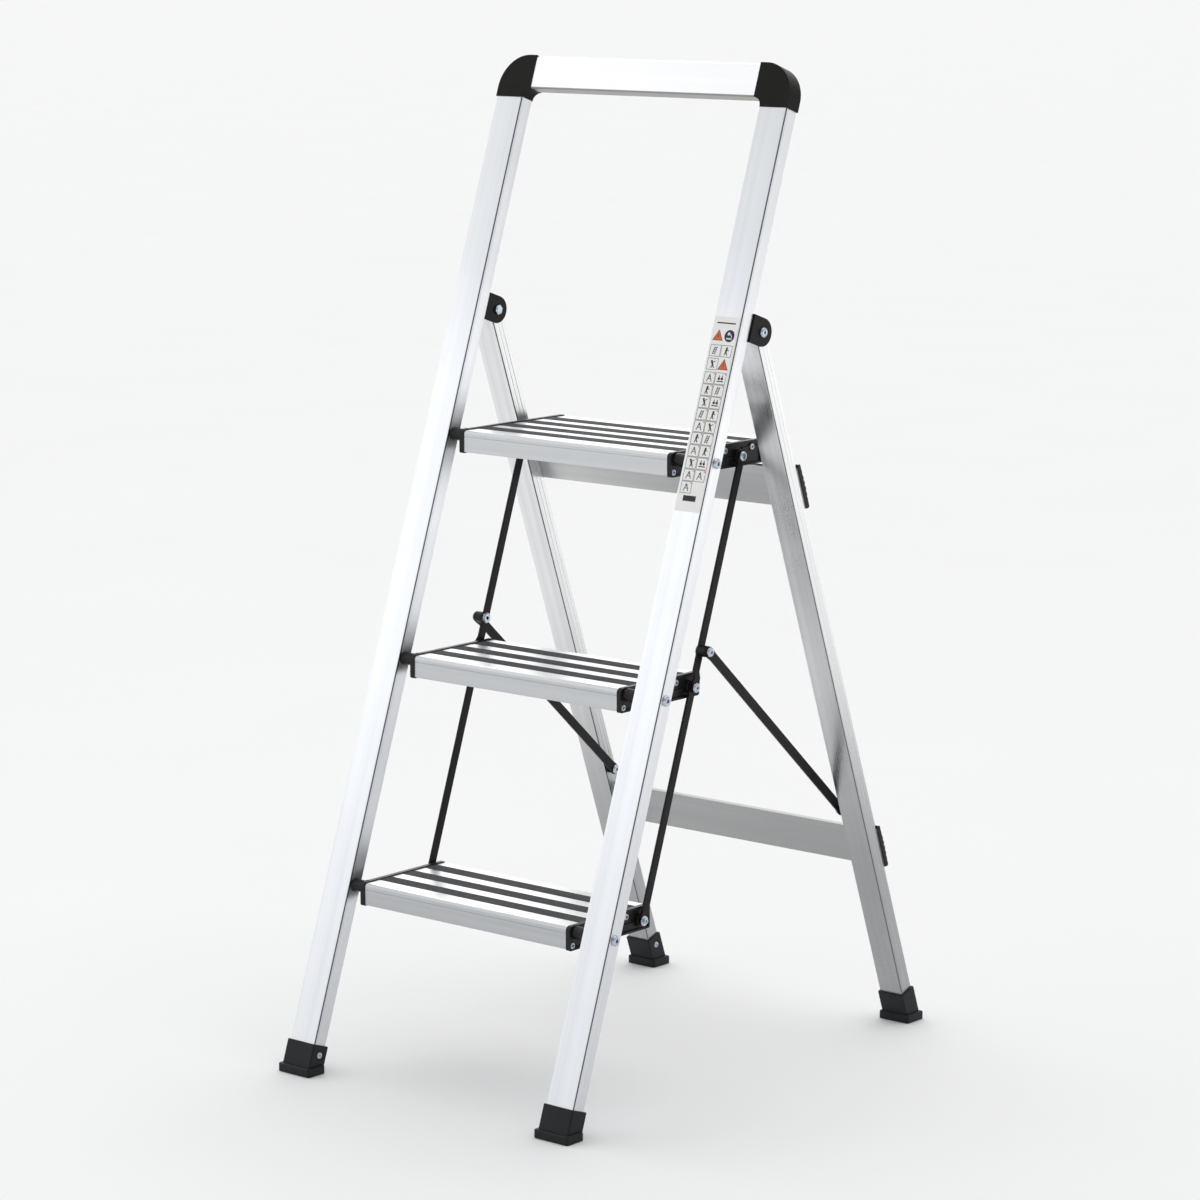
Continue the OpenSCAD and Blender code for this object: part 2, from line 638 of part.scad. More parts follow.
// Seen from the right, from one bolt to the next, Y along the bar
module bar_outline(length, w, end_r) {
    circle(r = end_r);
    translate([0, length]) circle(r = end_r);
    translate([-w / 2, 0]) square([w, length]);
}

module bar_holes(length) for (z = [0, length]) translate([0, 0, z])
    along_x(tie_in - 20, leg_in, tie_r + running_gap);

module lower_tie_bar(side) color(BLACK_STEEL) on_side(side) at_tie(LOWER) difference() {
    plate_x(tie_in, tie_out) bar_outline(pivot_pitch, tie_w, bar_end_r);
    bar_holes(pivot_pitch);
}

// Its lower end is set outward, to lie over the lower tie bar
module upper_tie_bar(side) color(BLACK_STEEL) on_side(side) at_tie(MIDDLE) difference() {
    intersection() {
        plate_x(tie_in - 1, lap_out + 1) {
            bar_outline(pivot_pitch, tie_w, bar_end_r);
            translate([0, brace_run]) circle(r = bar_end_r);
        }
        translate([0, 20, 0]) rotate([90, 0, 0]) linear_extrude(height = 40) polygon([
            [lap_in, -20], [lap_out, -20], [lap_out, joggle_start],
            [tie_out, joggle_end], [tie_out, pivot_pitch + 20], [tie_in, pivot_pitch + 20],
            [tie_in, joggle_end], [lap_in, joggle_start]]);
    }
    bar_holes(pivot_pitch);
    translate([0, 0, brace_run]) along_x(tie_in - 1, lap_out + 1, tie_r + running_gap);
}

module at_brace_top() at_tie(MIDDLE) translate([0, 0, brace_run]) children();

module brace_spacers() color(BLACK_PLASTIC) for (side = [LEFT, RIGHT]) on_side(side) at_brace_top()
    difference() {
        along_x(tie_out, brace_in - face_gap, tie_head_r + 0.9);
        along_x(tie_out - 1, brace_in + 1, tie_r + running_gap);
    }

module brace_upper_bolts() color(ZINC) for (side = [LEFT, RIGHT]) on_side(side) at_brace_top() {
    along_x(tie_in - eps, brace_out + face_gap + eps, tie_r);
    difference() {
        along_x(tie_in - 2, tie_in, tie_head_r + 0.7);
        translate([tie_in - 3, 0, 0]) rotate([0, 90, 0]) cylinder(h = 2, r = 2.4, $fn = 6);
    }
    dome_head(brace_out + face_gap, tie_head_r, tie_head_h, 1.8);
}

brace_top_y = pivot_y(MIDDLE) + tie_back + brace_run * sin(stile_lean);
brace_top_z = pivot_z(MIDDLE) - tie_drop + brace_run * cos(stile_lean);
brace_foot_run = hinge_leg_run - brace_drop;
brace_foot_y = leg_y - brace_foot_run * sin(leg_lean) + leg_t / 2 * cos(leg_lean);
brace_foot_z = brace_foot_run * cos(leg_lean) + leg_t / 2 * sin(leg_lean);
brace_len = norm([brace_foot_y - brace_top_y, brace_foot_z - brace_top_z]);
brace_tilt = atan2(brace_foot_z - brace_top_z, brace_foot_y - brace_top_y);

module at_brace_foot() translate([0, brace_foot_y, brace_foot_z]) children();

module brace(side) color(BLACK_STEEL) on_side(side) translate([0, brace_top_y, brace_top_z])
    rotate([brace_tilt - 90, 0, 0]) difference() {
        plate_x(brace_in, brace_out) bar_outline(brace_len, brace_w, brace_eye_r);
        for (z = [0, brace_len]) translate([0, 0, z])
            along_x(brace_in - 1, brace_out + 1, tie_r + running_gap);
    }

// The lower bolts and their washers stay with the brace and end just clear of the leg
module brace_lower_bolts() color(ZINC) for (side = [LEFT, RIGHT]) on_side(side) at_brace_foot() {
    along_x(brace_in - eps, leg_in - 0.4, tie_r);
    translate([2 * brace_in, 0, 0]) mirror([1, 0, 0]) dome_head(brace_in, tie_head_r, tie_head_h, 1.8);
}

module brace_washers() color(BLACK_PLASTIC) for (side = [LEFT, RIGHT]) on_side(side) at_brace_foot()
    difference() {
        along_x(brace_out, leg_in - 0.4, tie_head_r);
        along_x(brace_out - 1, leg_in, tie_r + running_gap);
    }

// ---------------------------------------------------------------- the assembly

stile(LEFT);  // stile_left
stile(RIGHT);  // stile_right
handrail();
corner(LEFT);  // corner_left
corner(RIGHT);  // corner_right
corner_rivets();
hinge_bracket(LEFT);  // hinge_bracket_left
hinge_bracket(RIGHT);  // hinge_bracket_right
hinge_bracket_rivets();
hinge_bolts();
pivot_bolts();
pivot_bushes();
front_foot(LEFT);  // front_foot_left
front_foot(RIGHT);  // front_foot_right
front_foot_rivets();
pictogram_label();
leg(LEFT);  // leg_left
leg(RIGHT);  // leg_right
leg_caps();
hinge_bushes();
crossbar(upper_crossbar_run);  // upper_crossbar
crossbar(lower_crossbar_run);  // lower_crossbar
crossbar_caps(upper_crossbar_run);  // upper_crossbar_caps
crossbar_caps(lower_crossbar_run);  // lower_crossbar_caps
crossbar_rivets();
rear_foot(LEFT);  // rear_foot_left
rear_foot(RIGHT);  // rear_foot_right
rear_foot_rivets();
tread(LOWER);  // lower_tread
grips(LOWER);  // lower_grips
bracket(LOWER, LEFT);  // lower_bracket_left
bracket(LOWER, RIGHT);  // lower_bracket_right
bracket_screws(LOWER);  // lower_bracket_screws
tie_bolts(LOWER);  // lower_tie_bolts
tread(MIDDLE);  // middle_tread
grips(MIDDLE);  // middle_grips
bracket(MIDDLE, LEFT);  // middle_bracket_left
bracket(MIDDLE, RIGHT);  // middle_bracket_right
bracket_screws(MIDDLE);  // middle_bracket_screws
tie_bolts(MIDDLE);  // middle_tie_bolts
tread(PLATFORM);  // platform_tread
grips(PLATFORM);  // platform_grips
bracket(PLATFORM, LEFT);  // platform_bracket_left
bracket(PLATFORM, RIGHT);  // platform_bracket_right
bracket_screws(PLATFORM);  // platform_bracket_screws
tie_bolts(PLATFORM);  // platform_tie_bolts
lower_tie_bar(LEFT);  // lower_tie_bar_left
lower_tie_bar(RIGHT);  // lower_tie_bar_right
upper_tie_bar(LEFT);  // upper_tie_bar_left
upper_tie_bar(RIGHT);  // upper_tie_bar_right
brace_spacers();
brace_upper_bolts();
brace(LEFT);  // brace_left
brace(RIGHT);  // brace_right
brace_lower_bolts();
brace_washers();
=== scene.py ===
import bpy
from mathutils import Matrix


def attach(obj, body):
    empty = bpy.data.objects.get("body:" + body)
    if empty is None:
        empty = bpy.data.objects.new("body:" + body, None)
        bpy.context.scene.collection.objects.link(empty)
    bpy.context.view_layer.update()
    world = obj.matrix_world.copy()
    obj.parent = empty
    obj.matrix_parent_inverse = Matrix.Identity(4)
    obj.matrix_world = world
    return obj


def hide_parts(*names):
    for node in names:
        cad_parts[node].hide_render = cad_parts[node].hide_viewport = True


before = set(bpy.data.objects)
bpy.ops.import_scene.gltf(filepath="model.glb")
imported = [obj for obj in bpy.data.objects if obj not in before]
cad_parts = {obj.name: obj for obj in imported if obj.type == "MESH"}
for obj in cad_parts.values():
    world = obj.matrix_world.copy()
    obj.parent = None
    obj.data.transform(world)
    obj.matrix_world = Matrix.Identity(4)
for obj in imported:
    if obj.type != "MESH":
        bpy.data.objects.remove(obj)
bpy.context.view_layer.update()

import math

import bmesh
import bpy
from mathutils import Matrix, Vector

# ---- Front stiles ----
# Two drawn aluminium tubes with a lip on both sides of the front face, satin anodised. The lower ends
# are pushed into the feet and the upper ends onto the corner pieces. Sizes are millimetres.


class Tone:
    """A socket of a material, to be added, multiplied and passed on like a number."""

    def __init__(self, tree, socket=None):
        self.tree, self.socket = tree, socket

    def node(self, kind, settings=None, inputs=None, out=0):
        made = self.tree.nodes.new(kind)
        for key, value in (settings or {}).items():
            if key == "stops":
                ramp = made.color_ramp
                while len(ramp.elements) < len(value):
                    ramp.elements.new(0.5)
                for element, (place, colour) in zip(ramp.elements, value):
                    element.position, element.color = place, colour
            else:
                setattr(made, key, value)
        for key, value in (inputs or {}).items():
            if isinstance(value, Tone):
                self.tree.links.new(value.socket, made.inputs[key])
            else:
                made.inputs[key].default_value = value
        return Tone(self.tree, made.outputs[out])

    def maths(self, operation, first, second=0.0):
        return self.node("ShaderNodeMath", {"operation": operation}, {0: first, 1: second})

    def __add__(self, other):
        return self.maths("ADD", self, other)

    def __radd__(self, other):
        return self.maths("ADD", other, self)

    def __sub__(self, other):
        return self.maths("SUBTRACT", self, other)

    def __rsub__(self, other):
        return self.maths("SUBTRACT", other, self)

    def __mul__(self, other):
        return self.maths("MULTIPLY", self, other)

    def __rmul__(self, other):
        return self.maths("MULTIPLY", other, self)

    def grain(self, size, detail=3.0, turn=0.0):
        """Noise whose grains are size metres along X, Y and Z, on axes turned about X."""
        place = self.node("ShaderNodeTexCoord", out="Object")
        scaled = self.node(
            "ShaderNodeMapping",
            {"vector_type": "TEXTURE"},
            {"Vector": place, "Rotation": (turn, 0, 0), "Scale": size},
        )
        return self.node("ShaderNodeTexNoise", {}, {"Vector": scaled, "Scale": 1.0, "Detail": detail})

    def along(self, direction):
        """How far along a direction the surface is, in metres."""
        place = self.node("ShaderNodeTexCoord", out="Object")
        product = {"operation": "DOT_PRODUCT"}
        return self.node("ShaderNodeVectorMath", product, {0: place, 1: direction}, out="Value")

    def near(self, value, half):
        """1 within half of a value."""
        return self.node("ShaderNodeMath", {"operation": "COMPARE"}, {0: self, 1: value, 2: half})

    def step(self, low, high):
        """0 below low and 1 above high."""
        return self.node(
            "ShaderNodeMapRange",
            {"interpolation_type": "SMOOTHSTEP"},
            {"Value": self, "From Min": low, "From Max": high},
        )

    def between(self, first, second):
        """The colour between two, by this much."""
        return self.node(
            "ShaderNodeMix", {"data_type": "RGBA"},
            {0: self, 6: first if isinstance(first, Tone) else (*first, 1), 7: (*second, 1)}, out=2,
        )


def new_finish(name):
    made = bpy.data.materials.new(name)
    made.use_nodes = True
    return made, Tone(made.node_tree)


def coat(made, colour, roughness, metallic, relief=None, depth=0.00002, strength=1.0, gloss=0.5):
    """Sets a finish's shader. relief is a height from 0 to 1 and depth its size in metres."""
    tree = made.node_tree
    shader = tree.nodes["Principled BSDF"]
    shader.inputs["Metallic"].default_value = metallic
    shader.inputs["Specular IOR Level"].default_value = gloss
    for key, value in (("Base Color", colour), ("Roughness", roughness)):
        if isinstance(value, Tone):
            tree.links.new(value.socket, shader.inputs[key])
        else:
            shader.inputs[key].default_value = value
    if relief is not None:
        bump = relief.node(
            "ShaderNodeBump", {}, {"Height": relief, "Distance": depth, "Strength": strength}
        )
        tree.links.new(bump.socket, shader.inputs["Normal"])
    return made


def anodised(name, size_along, across, turn=0.0, dull=0.34, light=(0.88, 0.895, 0.92),
             dark=(0.80, 0.815, 0.84), shade_band=None, low=0.14, high=0.0):
    """Satin anodised aluminium with drawing lines along one axis and a band of painted shade along a seam.
    Its colour is painted darker by low near the floor and by high near the handrail, painted shade."""
    made, tone = new_finish(name)
    lines_size = (size_along, across, across) if size_along > across else (across, across, 0.9)
    band_size = tuple(9 * v if v == across else v for v in lines_size)
    lines = tone.grain(lines_size, 2.0, turn)
    bands = tone.grain(band_size, 1.0, turn)
    smudges = tone.grain((0.05, 0.05, 0.05), 4.0)
    scuffs = tone.grain((0.004, 0.004, 0.03), 6.0, turn).step(0.66, 0.74)
    shade = (bands * 0.6 + lines * 0.3 + smudges * 0.1).step(0.3, 0.7).between(dark, light)
    rough = dull + (lines - 0.5) * 0.10 + (smudges - 0.5) * 0.12 + scuffs * 0.06
    # Painted shade: the colour darkens towards the floor by low and towards the handrail by high.
    height = tone.along((0, 0, 1))
    painted_shade_amount = (1 - height.step(0.16, 0.5)) * low + height.step(0.70, 0.92) * high
    shade = painted_shade_amount.between(shade, (0.22, 0.225, 0.23))
    # Painted shade: a dark band along a seam, where shade falls in the groove.
    if shade_band:
        direction, place, half, painted_shade_colour = shade_band
        shade = tone.along(direction).near(place, half).between(shade, painted_shade_colour)
    return coat(made, shade, rough, 1.0, lines, 0.000012, 0.5)


def pull(made, face, step):
    """Extrudes one face by a step."""
    grown = bmesh.ops.extrude_face_region(made, geom=[face])
    far = [g for g in grown["geom"] if isinstance(g, bmesh.types.BMVert)]
    bmesh.ops.translate(made, verts=far, vec=step)


def close_gaps(made):
    gaps = [edge for edge in made.edges if edge.is_boundary]
    if gaps:
        bmesh.ops.holes_fill(made, edges=gaps, sides=0)
    bmesh.ops.recalc_face_normals(made, faces=made.faces)


def extrusion(outline, start, end, along="z"):
    """A closed bar with this outline: (x, y) along Z, (x, z) along Y or (y, z) along X."""
    made = bmesh.new()
    axis = "xyz".index(along)
    corners = [made.verts.new((*point[:axis], start, *point[axis:])) for point in outline]
    step = Vector((0, 0, 0))
    step[axis] = end - start
    pull(made, made.faces.new(corners), step)
    close_gaps(made)
    return made


def edges_along(made, along, wanted=lambda middle: True):
    """The edges along one axis whose middles are wanted."""
    axis = "xyz".index(along)
    picked = []
    for edge in made.edges:
        run = edge.verts[1].co - edge.verts[0].co
        middle = (edge.verts[0].co + edge.verts[1].co) / 2
        if abs(run[axis]) > 0.9995 * run.length and wanted(middle):
            picked.append(edge)
    return picked


def round_edges(made, edges, radius, segments=3):
    bmesh.ops.bevel(
        made, geom=edges, offset=radius, offset_type="OFFSET", segments=segments, profile=0.5,
        affect="EDGES", material=-1, clamp_overlap=True,
    )
    return made


to_metres = Matrix.Scale(0.001, 4)
to_left = Matrix.Diagonal((-1, 1, 1, 1))
both_hands = (("right", Matrix.Identity(4)), ("left", to_left))


def at(x, y, z):
    return Matrix.Translation((x, y, z))


def moved(shape, place):
    bmesh.ops.transform(shape, matrix=place, verts=shape.verts)
    if place.determinant() < 0:
        bmesh.ops.reverse_faces(shape, faces=shape.faces)
    return shape


def finished(made, name, place, finish, body, nodes, corner=35, upper=None):
    """Puts a mesh in its place as a piece that rides on a body and stands for CAD nodes.
    upper is another finish for the faces that look up."""
    mesh = bpy.data.meshes.new(name)
    moved(made, place).to_mesh(mesh)
    made.free()
    for face in mesh.polygons:
        face.use_smooth = True
    mesh.set_sharp_from_angle(angle=math.radians(corner))
    mesh.materials.append(finish)
    # Faces that look up take the upper finish; for the treads it is a lighter copy, painted light on their
    # tops.
    if upper:
        mesh.materials.append(upper)
        for face in mesh.polygons:
            face.material_index = int(face.normal.z > 0.9)
    piece = bpy.data.objects.new(name, mesh)
    bpy.context.scene.collection.objects.link(piece)
    flat = piece.modifiers.new("flat_faces", "WEIGHTED_NORMAL")
    flat.keep_sharp = True
    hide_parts(*nodes)
    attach(piece, body)
    return piece


stile_lean = math.radians(18.95)
front_y = -307.9
stile_in, stile_out, stile_depth, lip, lip_depth = 167.8, 204.3, 18.8, 0.5, 3.2
on_stile = to_metres @ at(0, front_y, 0) @ Matrix.Rotation(-stile_lean, 4, "X")
seam_depth, seam_half = 0.95, 0.00075
inwards = (0, math.cos(stile_lean), -math.sin(stile_lean))
seam_place = (math.cos(stile_lean) * front_y + seam_depth) / 1000
# Painted shade: the stiles darken towards the handrail by high and near the floor by the default low, and a
# dark band runs in the groove behind the lip.
stile_finish = anodised("stile_anodised", 0.0, 0.0011, turn=-stile_lean, high=0.24,
                        shade_band=(inwards, seam_place, seam_half, (0.10, 0.10, 0.10)))


def lipped_tube(inner, outer, depth, start, end, grooves=()):
    """A tube seen from above: a full-width lip in front, then sides set in, with fine grooves."""
    seat = ((0, 0), (0, lip_depth), (lip + 0.3, lip_depth + 0.2), (lip + 0.3, lip_depth + 0.7),
            (lip, lip_depth + 0.9))
    right, left = [(outer - a, b) for a, b in seat], [(inner + a, b) for a, b in seat]
    for y in grooves:
        right += [(outer - lip, y - 0.35), (outer - lip - 0.4, y), (outer - lip, y + 0.35)]
        left += [(inner + lip, y - 0.35), (inner + lip + 0.4, y), (inner + lip, y + 0.35)]
    made = extrusion(right + [(outer - lip, depth), (inner + lip, depth)] + left[::-1], start, end)
    corners = edges_along(made, "z", lambda m: m.y < 0.1 or m.y > depth - 0.1)
    round_edges(made, corners, 0.9)
    round_edges(made, edges_along(made, "z", lambda m: abs(m.y - lip_depth) < 0.05), 0.2, 2)
    return made


for side, flip in both_hands:
    finished(
        lipped_tube(stile_in, stile_out, stile_depth, 12, 1105.5), "stile_tube_" + side,
        flip @ on_stile, stile_finish, "front_frame", ["stile_" + side],
    )

# ---- Handrail ----
# A rounded aluminium tube across the top of the ladder, held by the spigots of the corner pieces. It is the
# same satin aluminium as the stiles, with its drawing lines running across; its colour is painted lighter
# than theirs, painted light, and a darker band along its underside is painted shade.

rail_end, rail_low, rail_high = 158.0, 1115.5, 1152.5
upwards = (0, math.sin(stile_lean), math.cos(stile_lean))
underside = (math.sin(stile_lean) * front_y + rail_low) / 1000
# Painted light and shade: a lighter colour than the stiles, and a dark band along the underside.
rail_finish = anodised("rail_anodised", 0.9, 0.0011, turn=-stile_lean, light=(0.97, 0.973, 0.98),
                       dark=(0.93, 0.935, 0.945), shade_band=(upwards, underside, 0.0018, (0.33, 0.325, 0.31)))


def box_outline(x0, x1, y0, y1):
    return [(x0, y0), (x1, y0), (x1, y1), (x0, y1)]


rail = extrusion(box_outline(0, stile_depth, rail_low, rail_high), -rail_end, rail_end, "x")
round_edges(rail, edges_along(rail, "x"), 2.4, 5)
finished(rail, "handrail_tube", on_stile, rail_finish, "front_frame", ["handrail"])

# ---- Corner pieces ----
# Moulded black elbows over the joint of stile and handrail, a little proud of both, with a big rounded
# shoulder outside and a small hollow inside. Two rivets in each go through from behind.


def moulded(name, colour=(0.012, 0.012, 0.0125), dull=0.42, grain_size=0.0009, gloss=0.2):
    """Black plastic with a fine moulded texture and a little dust."""
    made, tone = new_finish(name)
    pebbles = tone.grain((grain_size,) * 3, 2.0)
    cloud = tone.grain((0.03, 0.03, 0.03), 4.0)
    rubbed = tone.grain((0.003, 0.003, 0.012), 5.0).step(0.62, 0.76)
    shade = (cloud * 0.8 + rubbed * 0.35).step(0.2, 1.0)
    pale = tuple(v * 1.8 + 0.003 for v in colour)
    rough = dull + (cloud - 0.5) * 0.16 + rubbed * 0.08
    return coat(made, shade.between(colour, pale), rough, 0.0, pebbles, 0.00004, 0.6, gloss)


corner_finish = moulded("corner_plastic", (0.0075, 0.007, 0.0062), 0.46, gloss=0.12)
proud, hollow, shoulder_radius = 0.9, 10.5, 38.0
for side, flip in both_hands:
    out, top, low = stile_out + proud, rail_high + proud, rail_low - hollow
    bend = rail_end + hollow
    elbow = extrusion([
        (rail_end, top), (out, top), (out, low), (bend, low), (bend, rail_low), (rail_end, rail_low),
    ], -proud, stile_depth + proud, "y")
    shoulder = edges_along(elbow, "y", lambda m: m.x > out - 1 and m.z > top - 1)
    round_edges(elbow, shoulder, shoulder_radius, 28)
    inside = edges_along(elbow, "y", lambda m: abs(m.x - bend) < 0.1 and abs(m.z - rail_low) < 0.1)
    round_edges(elbow, inside, hollow - 0.1, 10)
    rims = [e for e in elbow.edges if abs(e.verts[0].co.y - e.verts[1].co.y) < 0.01
            and (abs(e.verts[0].co.y + proud) < 0.01 or abs(e.verts[0].co.y - stile_depth - proud) < 0.01)]
    round_edges(elbow, rims, 1.1, 3)
    finished(elbow, "corner_elbow_" + side, flip @ on_stile, corner_finish, "front_frame",
             ["corner_" + side])


def spun(profile, steps):
    """The surface that (radius, height) points sweep around the Z axis."""
    made = bmesh.new()
    points = [made.verts.new((r, 0, z)) for r, z in profile]
    lines = [made.edges.new(pair) for pair in zip(points, points[1:])]
    bmesh.ops.spin(
        made, geom=points + lines, cent=(0, 0, 0), axis=(0, 0, 1), dvec=(0, 0, 0),
        angle=2 * math.pi, steps=steps, use_merge=True, use_duplicate=False,
    )
    return made


def turned(profile, steps=36):
    """A turned part on the Z axis from (radius, height) points."""
    made = spun(profile, steps)
    bmesh.ops.remove_doubles(made, verts=made.verts, dist=0.0005)
    bmesh.ops.recalc_face_normals(made, faces=made.faces)
    return made


def join(shapes):
    """Several shapes as one mesh."""
    together, carrier = bmesh.new(), bpy.data.meshes.new("carrier")
    for one in shapes:
        one.to_mesh(carrier)
        together.from_mesh(carrier)
        one.free()
    bpy.data.meshes.remove(carrier)
    return together


def repeated(shape, places):
    """The same small part at each place, as one mesh in millimetres."""
    together = join([moved(shape.copy(), place) for place in places])
    shape.free()
    return together


def bolt_finish(name, colour=(0.60, 0.66, 0.73), dull=0.20):
    """Zinc plated steel, slightly blue, with fine turning marks and duller patches."""
    made, tone = new_finish(name)
    marks = tone.grain((0.00025, 0.00025, 0.00025), 2.0)
    patches = tone.grain((0.0025, 0.0025, 0.0025), 3.0)
    darker = tuple(v * 0.72 for v in colour)
    shade = patches.step(0.35, 0.7).between(colour, darker)
    rough = dull + patches * 0.16 + (marks - 0.5) * 0.08
    return coat(made, shade, rough, 1.0, marks, 0.00001, 0.5)


def both_sides(places):
    return [flip @ place for side, flip in both_hands for place in places]


zinc = bolt_finish("zinc_plate")
rivet_profile = [(0, 0.1), (0.95, 0.1), (1.15, 1.2), (1.6, 1.4), (2.6, 1.15), (3.35, 0.6), (3.6, 0.1),
                 (3.6, -0.2), (0, -0.2)]
rivet_inset = 14
to_back = Matrix.Rotation(math.radians(-90), 4, "X")
to_side = Matrix.Rotation(math.radians(90), 4, "Y")
stile_middle = (stile_in + stile_out) / 2
elbow_rivets = repeated(turned(rivet_profile), both_sides([
    at(stile_middle, stile_depth, rail_low - hollow - rivet_inset) @ to_back,
    at(rail_end - rivet_inset, stile_depth, (rail_low + rail_high) / 2) @ to_back,
]))
finished(elbow_rivets, "elbow_rivets", on_stile, zinc, "front_frame",
         ["corner_rivets"])

# ---- Hinge brackets and bolts ----
# Folded black steel clevises on the stiles' rear faces, with rounded cheeks on both sides of the legs'
# ends. A domed bolt goes through each, with a nut on the inside.


def powder_coated(name, colour=(0.0085, 0.008, 0.0072), dull=0.40):
    """Black powder coat with its slight orange peel and bright rubs."""
    made, tone = new_finish(name)
    peel = tone.grain((0.0013, 0.0013, 0.0013), 2.0)
    cloud = tone.grain((0.02, 0.02, 0.06), 4.0)
    rubs = tone.grain((0.002, 0.002, 0.009), 6.0).step(0.66, 0.76)
    pale = tuple(v * 2.0 + 0.003 for v in colour)
    shade = (cloud * 0.7 + rubs * 0.5).step(0.25, 1.0).between(colour, pale)
    rough = dull + (cloud - 0.5) * 0.14 + rubs * 0.1
    return coat(made, shade, rough, 0.0, peel, 0.00005, 0.6, 0.16)


hinge_run, hinge_depth, cheek_radius = 871.0, 38.0, 15.2
cheek_in, cheek_out, plate = 172.0, 203.3, 2.6
leg_middle = (cheek_in + cheek_out) / 2
hinge_finish = powder_coated("bracket_powder_coat")


def cheek(x):
    """A plate with two round corners towards the rear."""
    back, half = hinge_depth + cheek_radius, cheek_radius
    made = extrusion(box_outline(stile_depth, back, hinge_run - half, hinge_run + half), x, x + plate, "x")
    round_edges(made, edges_along(made, "x", lambda m: m.y > back - 1), half - 0.05, 12)
    rims = [e for e in made.edges if abs(e.verts[0].co.x - e.verts[1].co.x) < 0.01 and e.calc_length() < 60]
    round_edges(made, rims, 0.45, 2)
    return made


def web():
    """The plate across the stile's rear face that joins the cheeks."""
    low, high = hinge_run - cheek_radius, hinge_run + cheek_radius
    outline = box_outline(stile_depth, stile_depth + plate, low, high)
    made = extrusion(outline, cheek_in - plate + 0.05, cheek_out + plate - 0.05, "x")
    return round_edges(made, list(made.edges), 0.4, 2)


for side, flip in both_hands:
    finished(
        join([cheek(cheek_in - plate), cheek(cheek_out), web()]), "hinge_clevis_" + side,
        flip @ on_stile, hinge_finish, "front_frame", ["hinge_bracket_" + side],
    )

flush_rivet = [(0, 0.5), (3.0, 0.5), (3.5, 0.25), (3.6, 0), (0, 0)]
web_rivets = repeated(turned(flush_rivet), both_sides([
    at(leg_middle, stile_depth + plate, hinge_run + s) @ to_back for s in (-8.5, 8.5)
]))
finished(web_rivets, "clevis_rivets", on_stile, zinc, "front_frame",
         ["hinge_bracket_rivets"])


def hexagon(radius):
    return [(radius * math.cos(k * math.pi / 3), radius * math.sin(k * math.pi / 3)) for k in range(6)]


def cross(reach, half):
    """The outline of a cross recess."""
    arm = [(reach, -half), (reach, half), (half, half)]
    turns = [Matrix.Rotation(k * math.pi / 2, 2) for k in range(4)]
    return [tuple(turn @ Vector(point)) for turn in turns for point in arm]


def socket_head(radius, height, socket, ring, depth, steps=36):
    """A domed head on the Z axis with a recess in its top."""
    rim = 0.28
    profile = [(radius * 0.96, 0), (radius, 0.12 * height), (radius, rim * height)]
    for k in range(1, 7):
        turn = k * math.pi / 12
        profile.append((ring + (radius - ring) * math.cos(turn), height * (rim + (1 - rim) * math.sin(turn))))
    made = spun(profile, steps)
    top_ring = [e for e in made.edges if e.is_boundary and e.verts[0].co.z > 0.99 * height]
    corners = [made.verts.new((x, y, height)) for x, y in socket]
    mouth = [made.edges.new((a, b)) for a, b in zip(corners, corners[1:] + corners[:1])]
    bmesh.ops.bridge_loops(made, edges=top_ring + mouth)
    sunk = bmesh.ops.extrude_edge_only(made, edges=mouth)
    floor_verts = [g for g in sunk["geom"] if isinstance(g, bmesh.types.BMVert)]
    bmesh.ops.translate(made, verts=floor_verts, vec=(0, 0, -depth))
    bmesh.ops.holes_fill(made, edges=[e for e in made.edges if e.is_boundary], sides=0)
    bmesh.ops.recalc_face_normals(made, faces=made.faces)
    return made


nut_height = 2.4
hinge_heads = repeated(socket_head(5.45, 3.0, hexagon(2.2), 3.1, 2.7), both_sides([
    at(cheek_out + plate, hinge_depth, hinge_run) @ to_side]))
at_nuts = both_sides([at(cheek_in - plate - nut_height, hinge_depth, hinge_run) @ to_side])
nut = extrusion(hexagon(5.8), 0, nut_height)
nuts = repeated(round_edges(nut, list(nut.edges), 0.35, 2), at_nuts)
ends = repeated(turned([(0, -0.8), (3.5, -0.8), (4.0, -0.3), (4.0, 1.5), (0, 1.5)]), at_nuts)
finished(join([hinge_heads, nuts, ends]), "hinge_bolt_set", on_stile, zinc, "front_frame",
         ["hinge_bolts"])

# ---- Step pivots ----
# Button-head bolts through the stiles at each step, and black bushes that hold the step ends off the
# stiles. The bolts' heads show on the stiles' outer faces.

first_step, step_rise, pivot_depth, rim_out = 200, 240, 9.4, 150.8
heights = [first_step + step_rise * k for k in range(3)]
pivots = [(front_y + z * math.tan(stile_lean) + pivot_depth / math.cos(stile_lean), z) for z in heights]
pivot_heads = repeated(socket_head(5.8, 3.4, hexagon(2.5), 3.4, 3.1), both_sides([
    at(stile_out - lip, y, z) @ to_side for y, z in pivots]))
finished(pivot_heads, "pivot_bolt_heads", to_metres, zinc, "front_frame",
         ["pivot_bolts"])

bush_length = stile_in - rim_out - 0.2
bush_profile = [(4.2, 0), (6.3, 0), (6.9, 0.5), (7.0, 1.2), (6.7, 6.5), (6.7, 9.0), (7.0, bush_length - 3.2),
                (7.6, bush_length - 2.8), (7.6, bush_length - 0.2), (7.4, bush_length), (4.2, bush_length)]
bush_finish = moulded("bush_plastic", (0.010, 0.010, 0.011), 0.32)
bushes = repeated(turned(bush_profile), both_sides([
    at(rim_out + 0.2, y, z) @ to_side for y, z in pivots]))
finished(bushes, "pivot_bush_set", to_metres, bush_finish, "front_frame", ["pivot_bushes"])

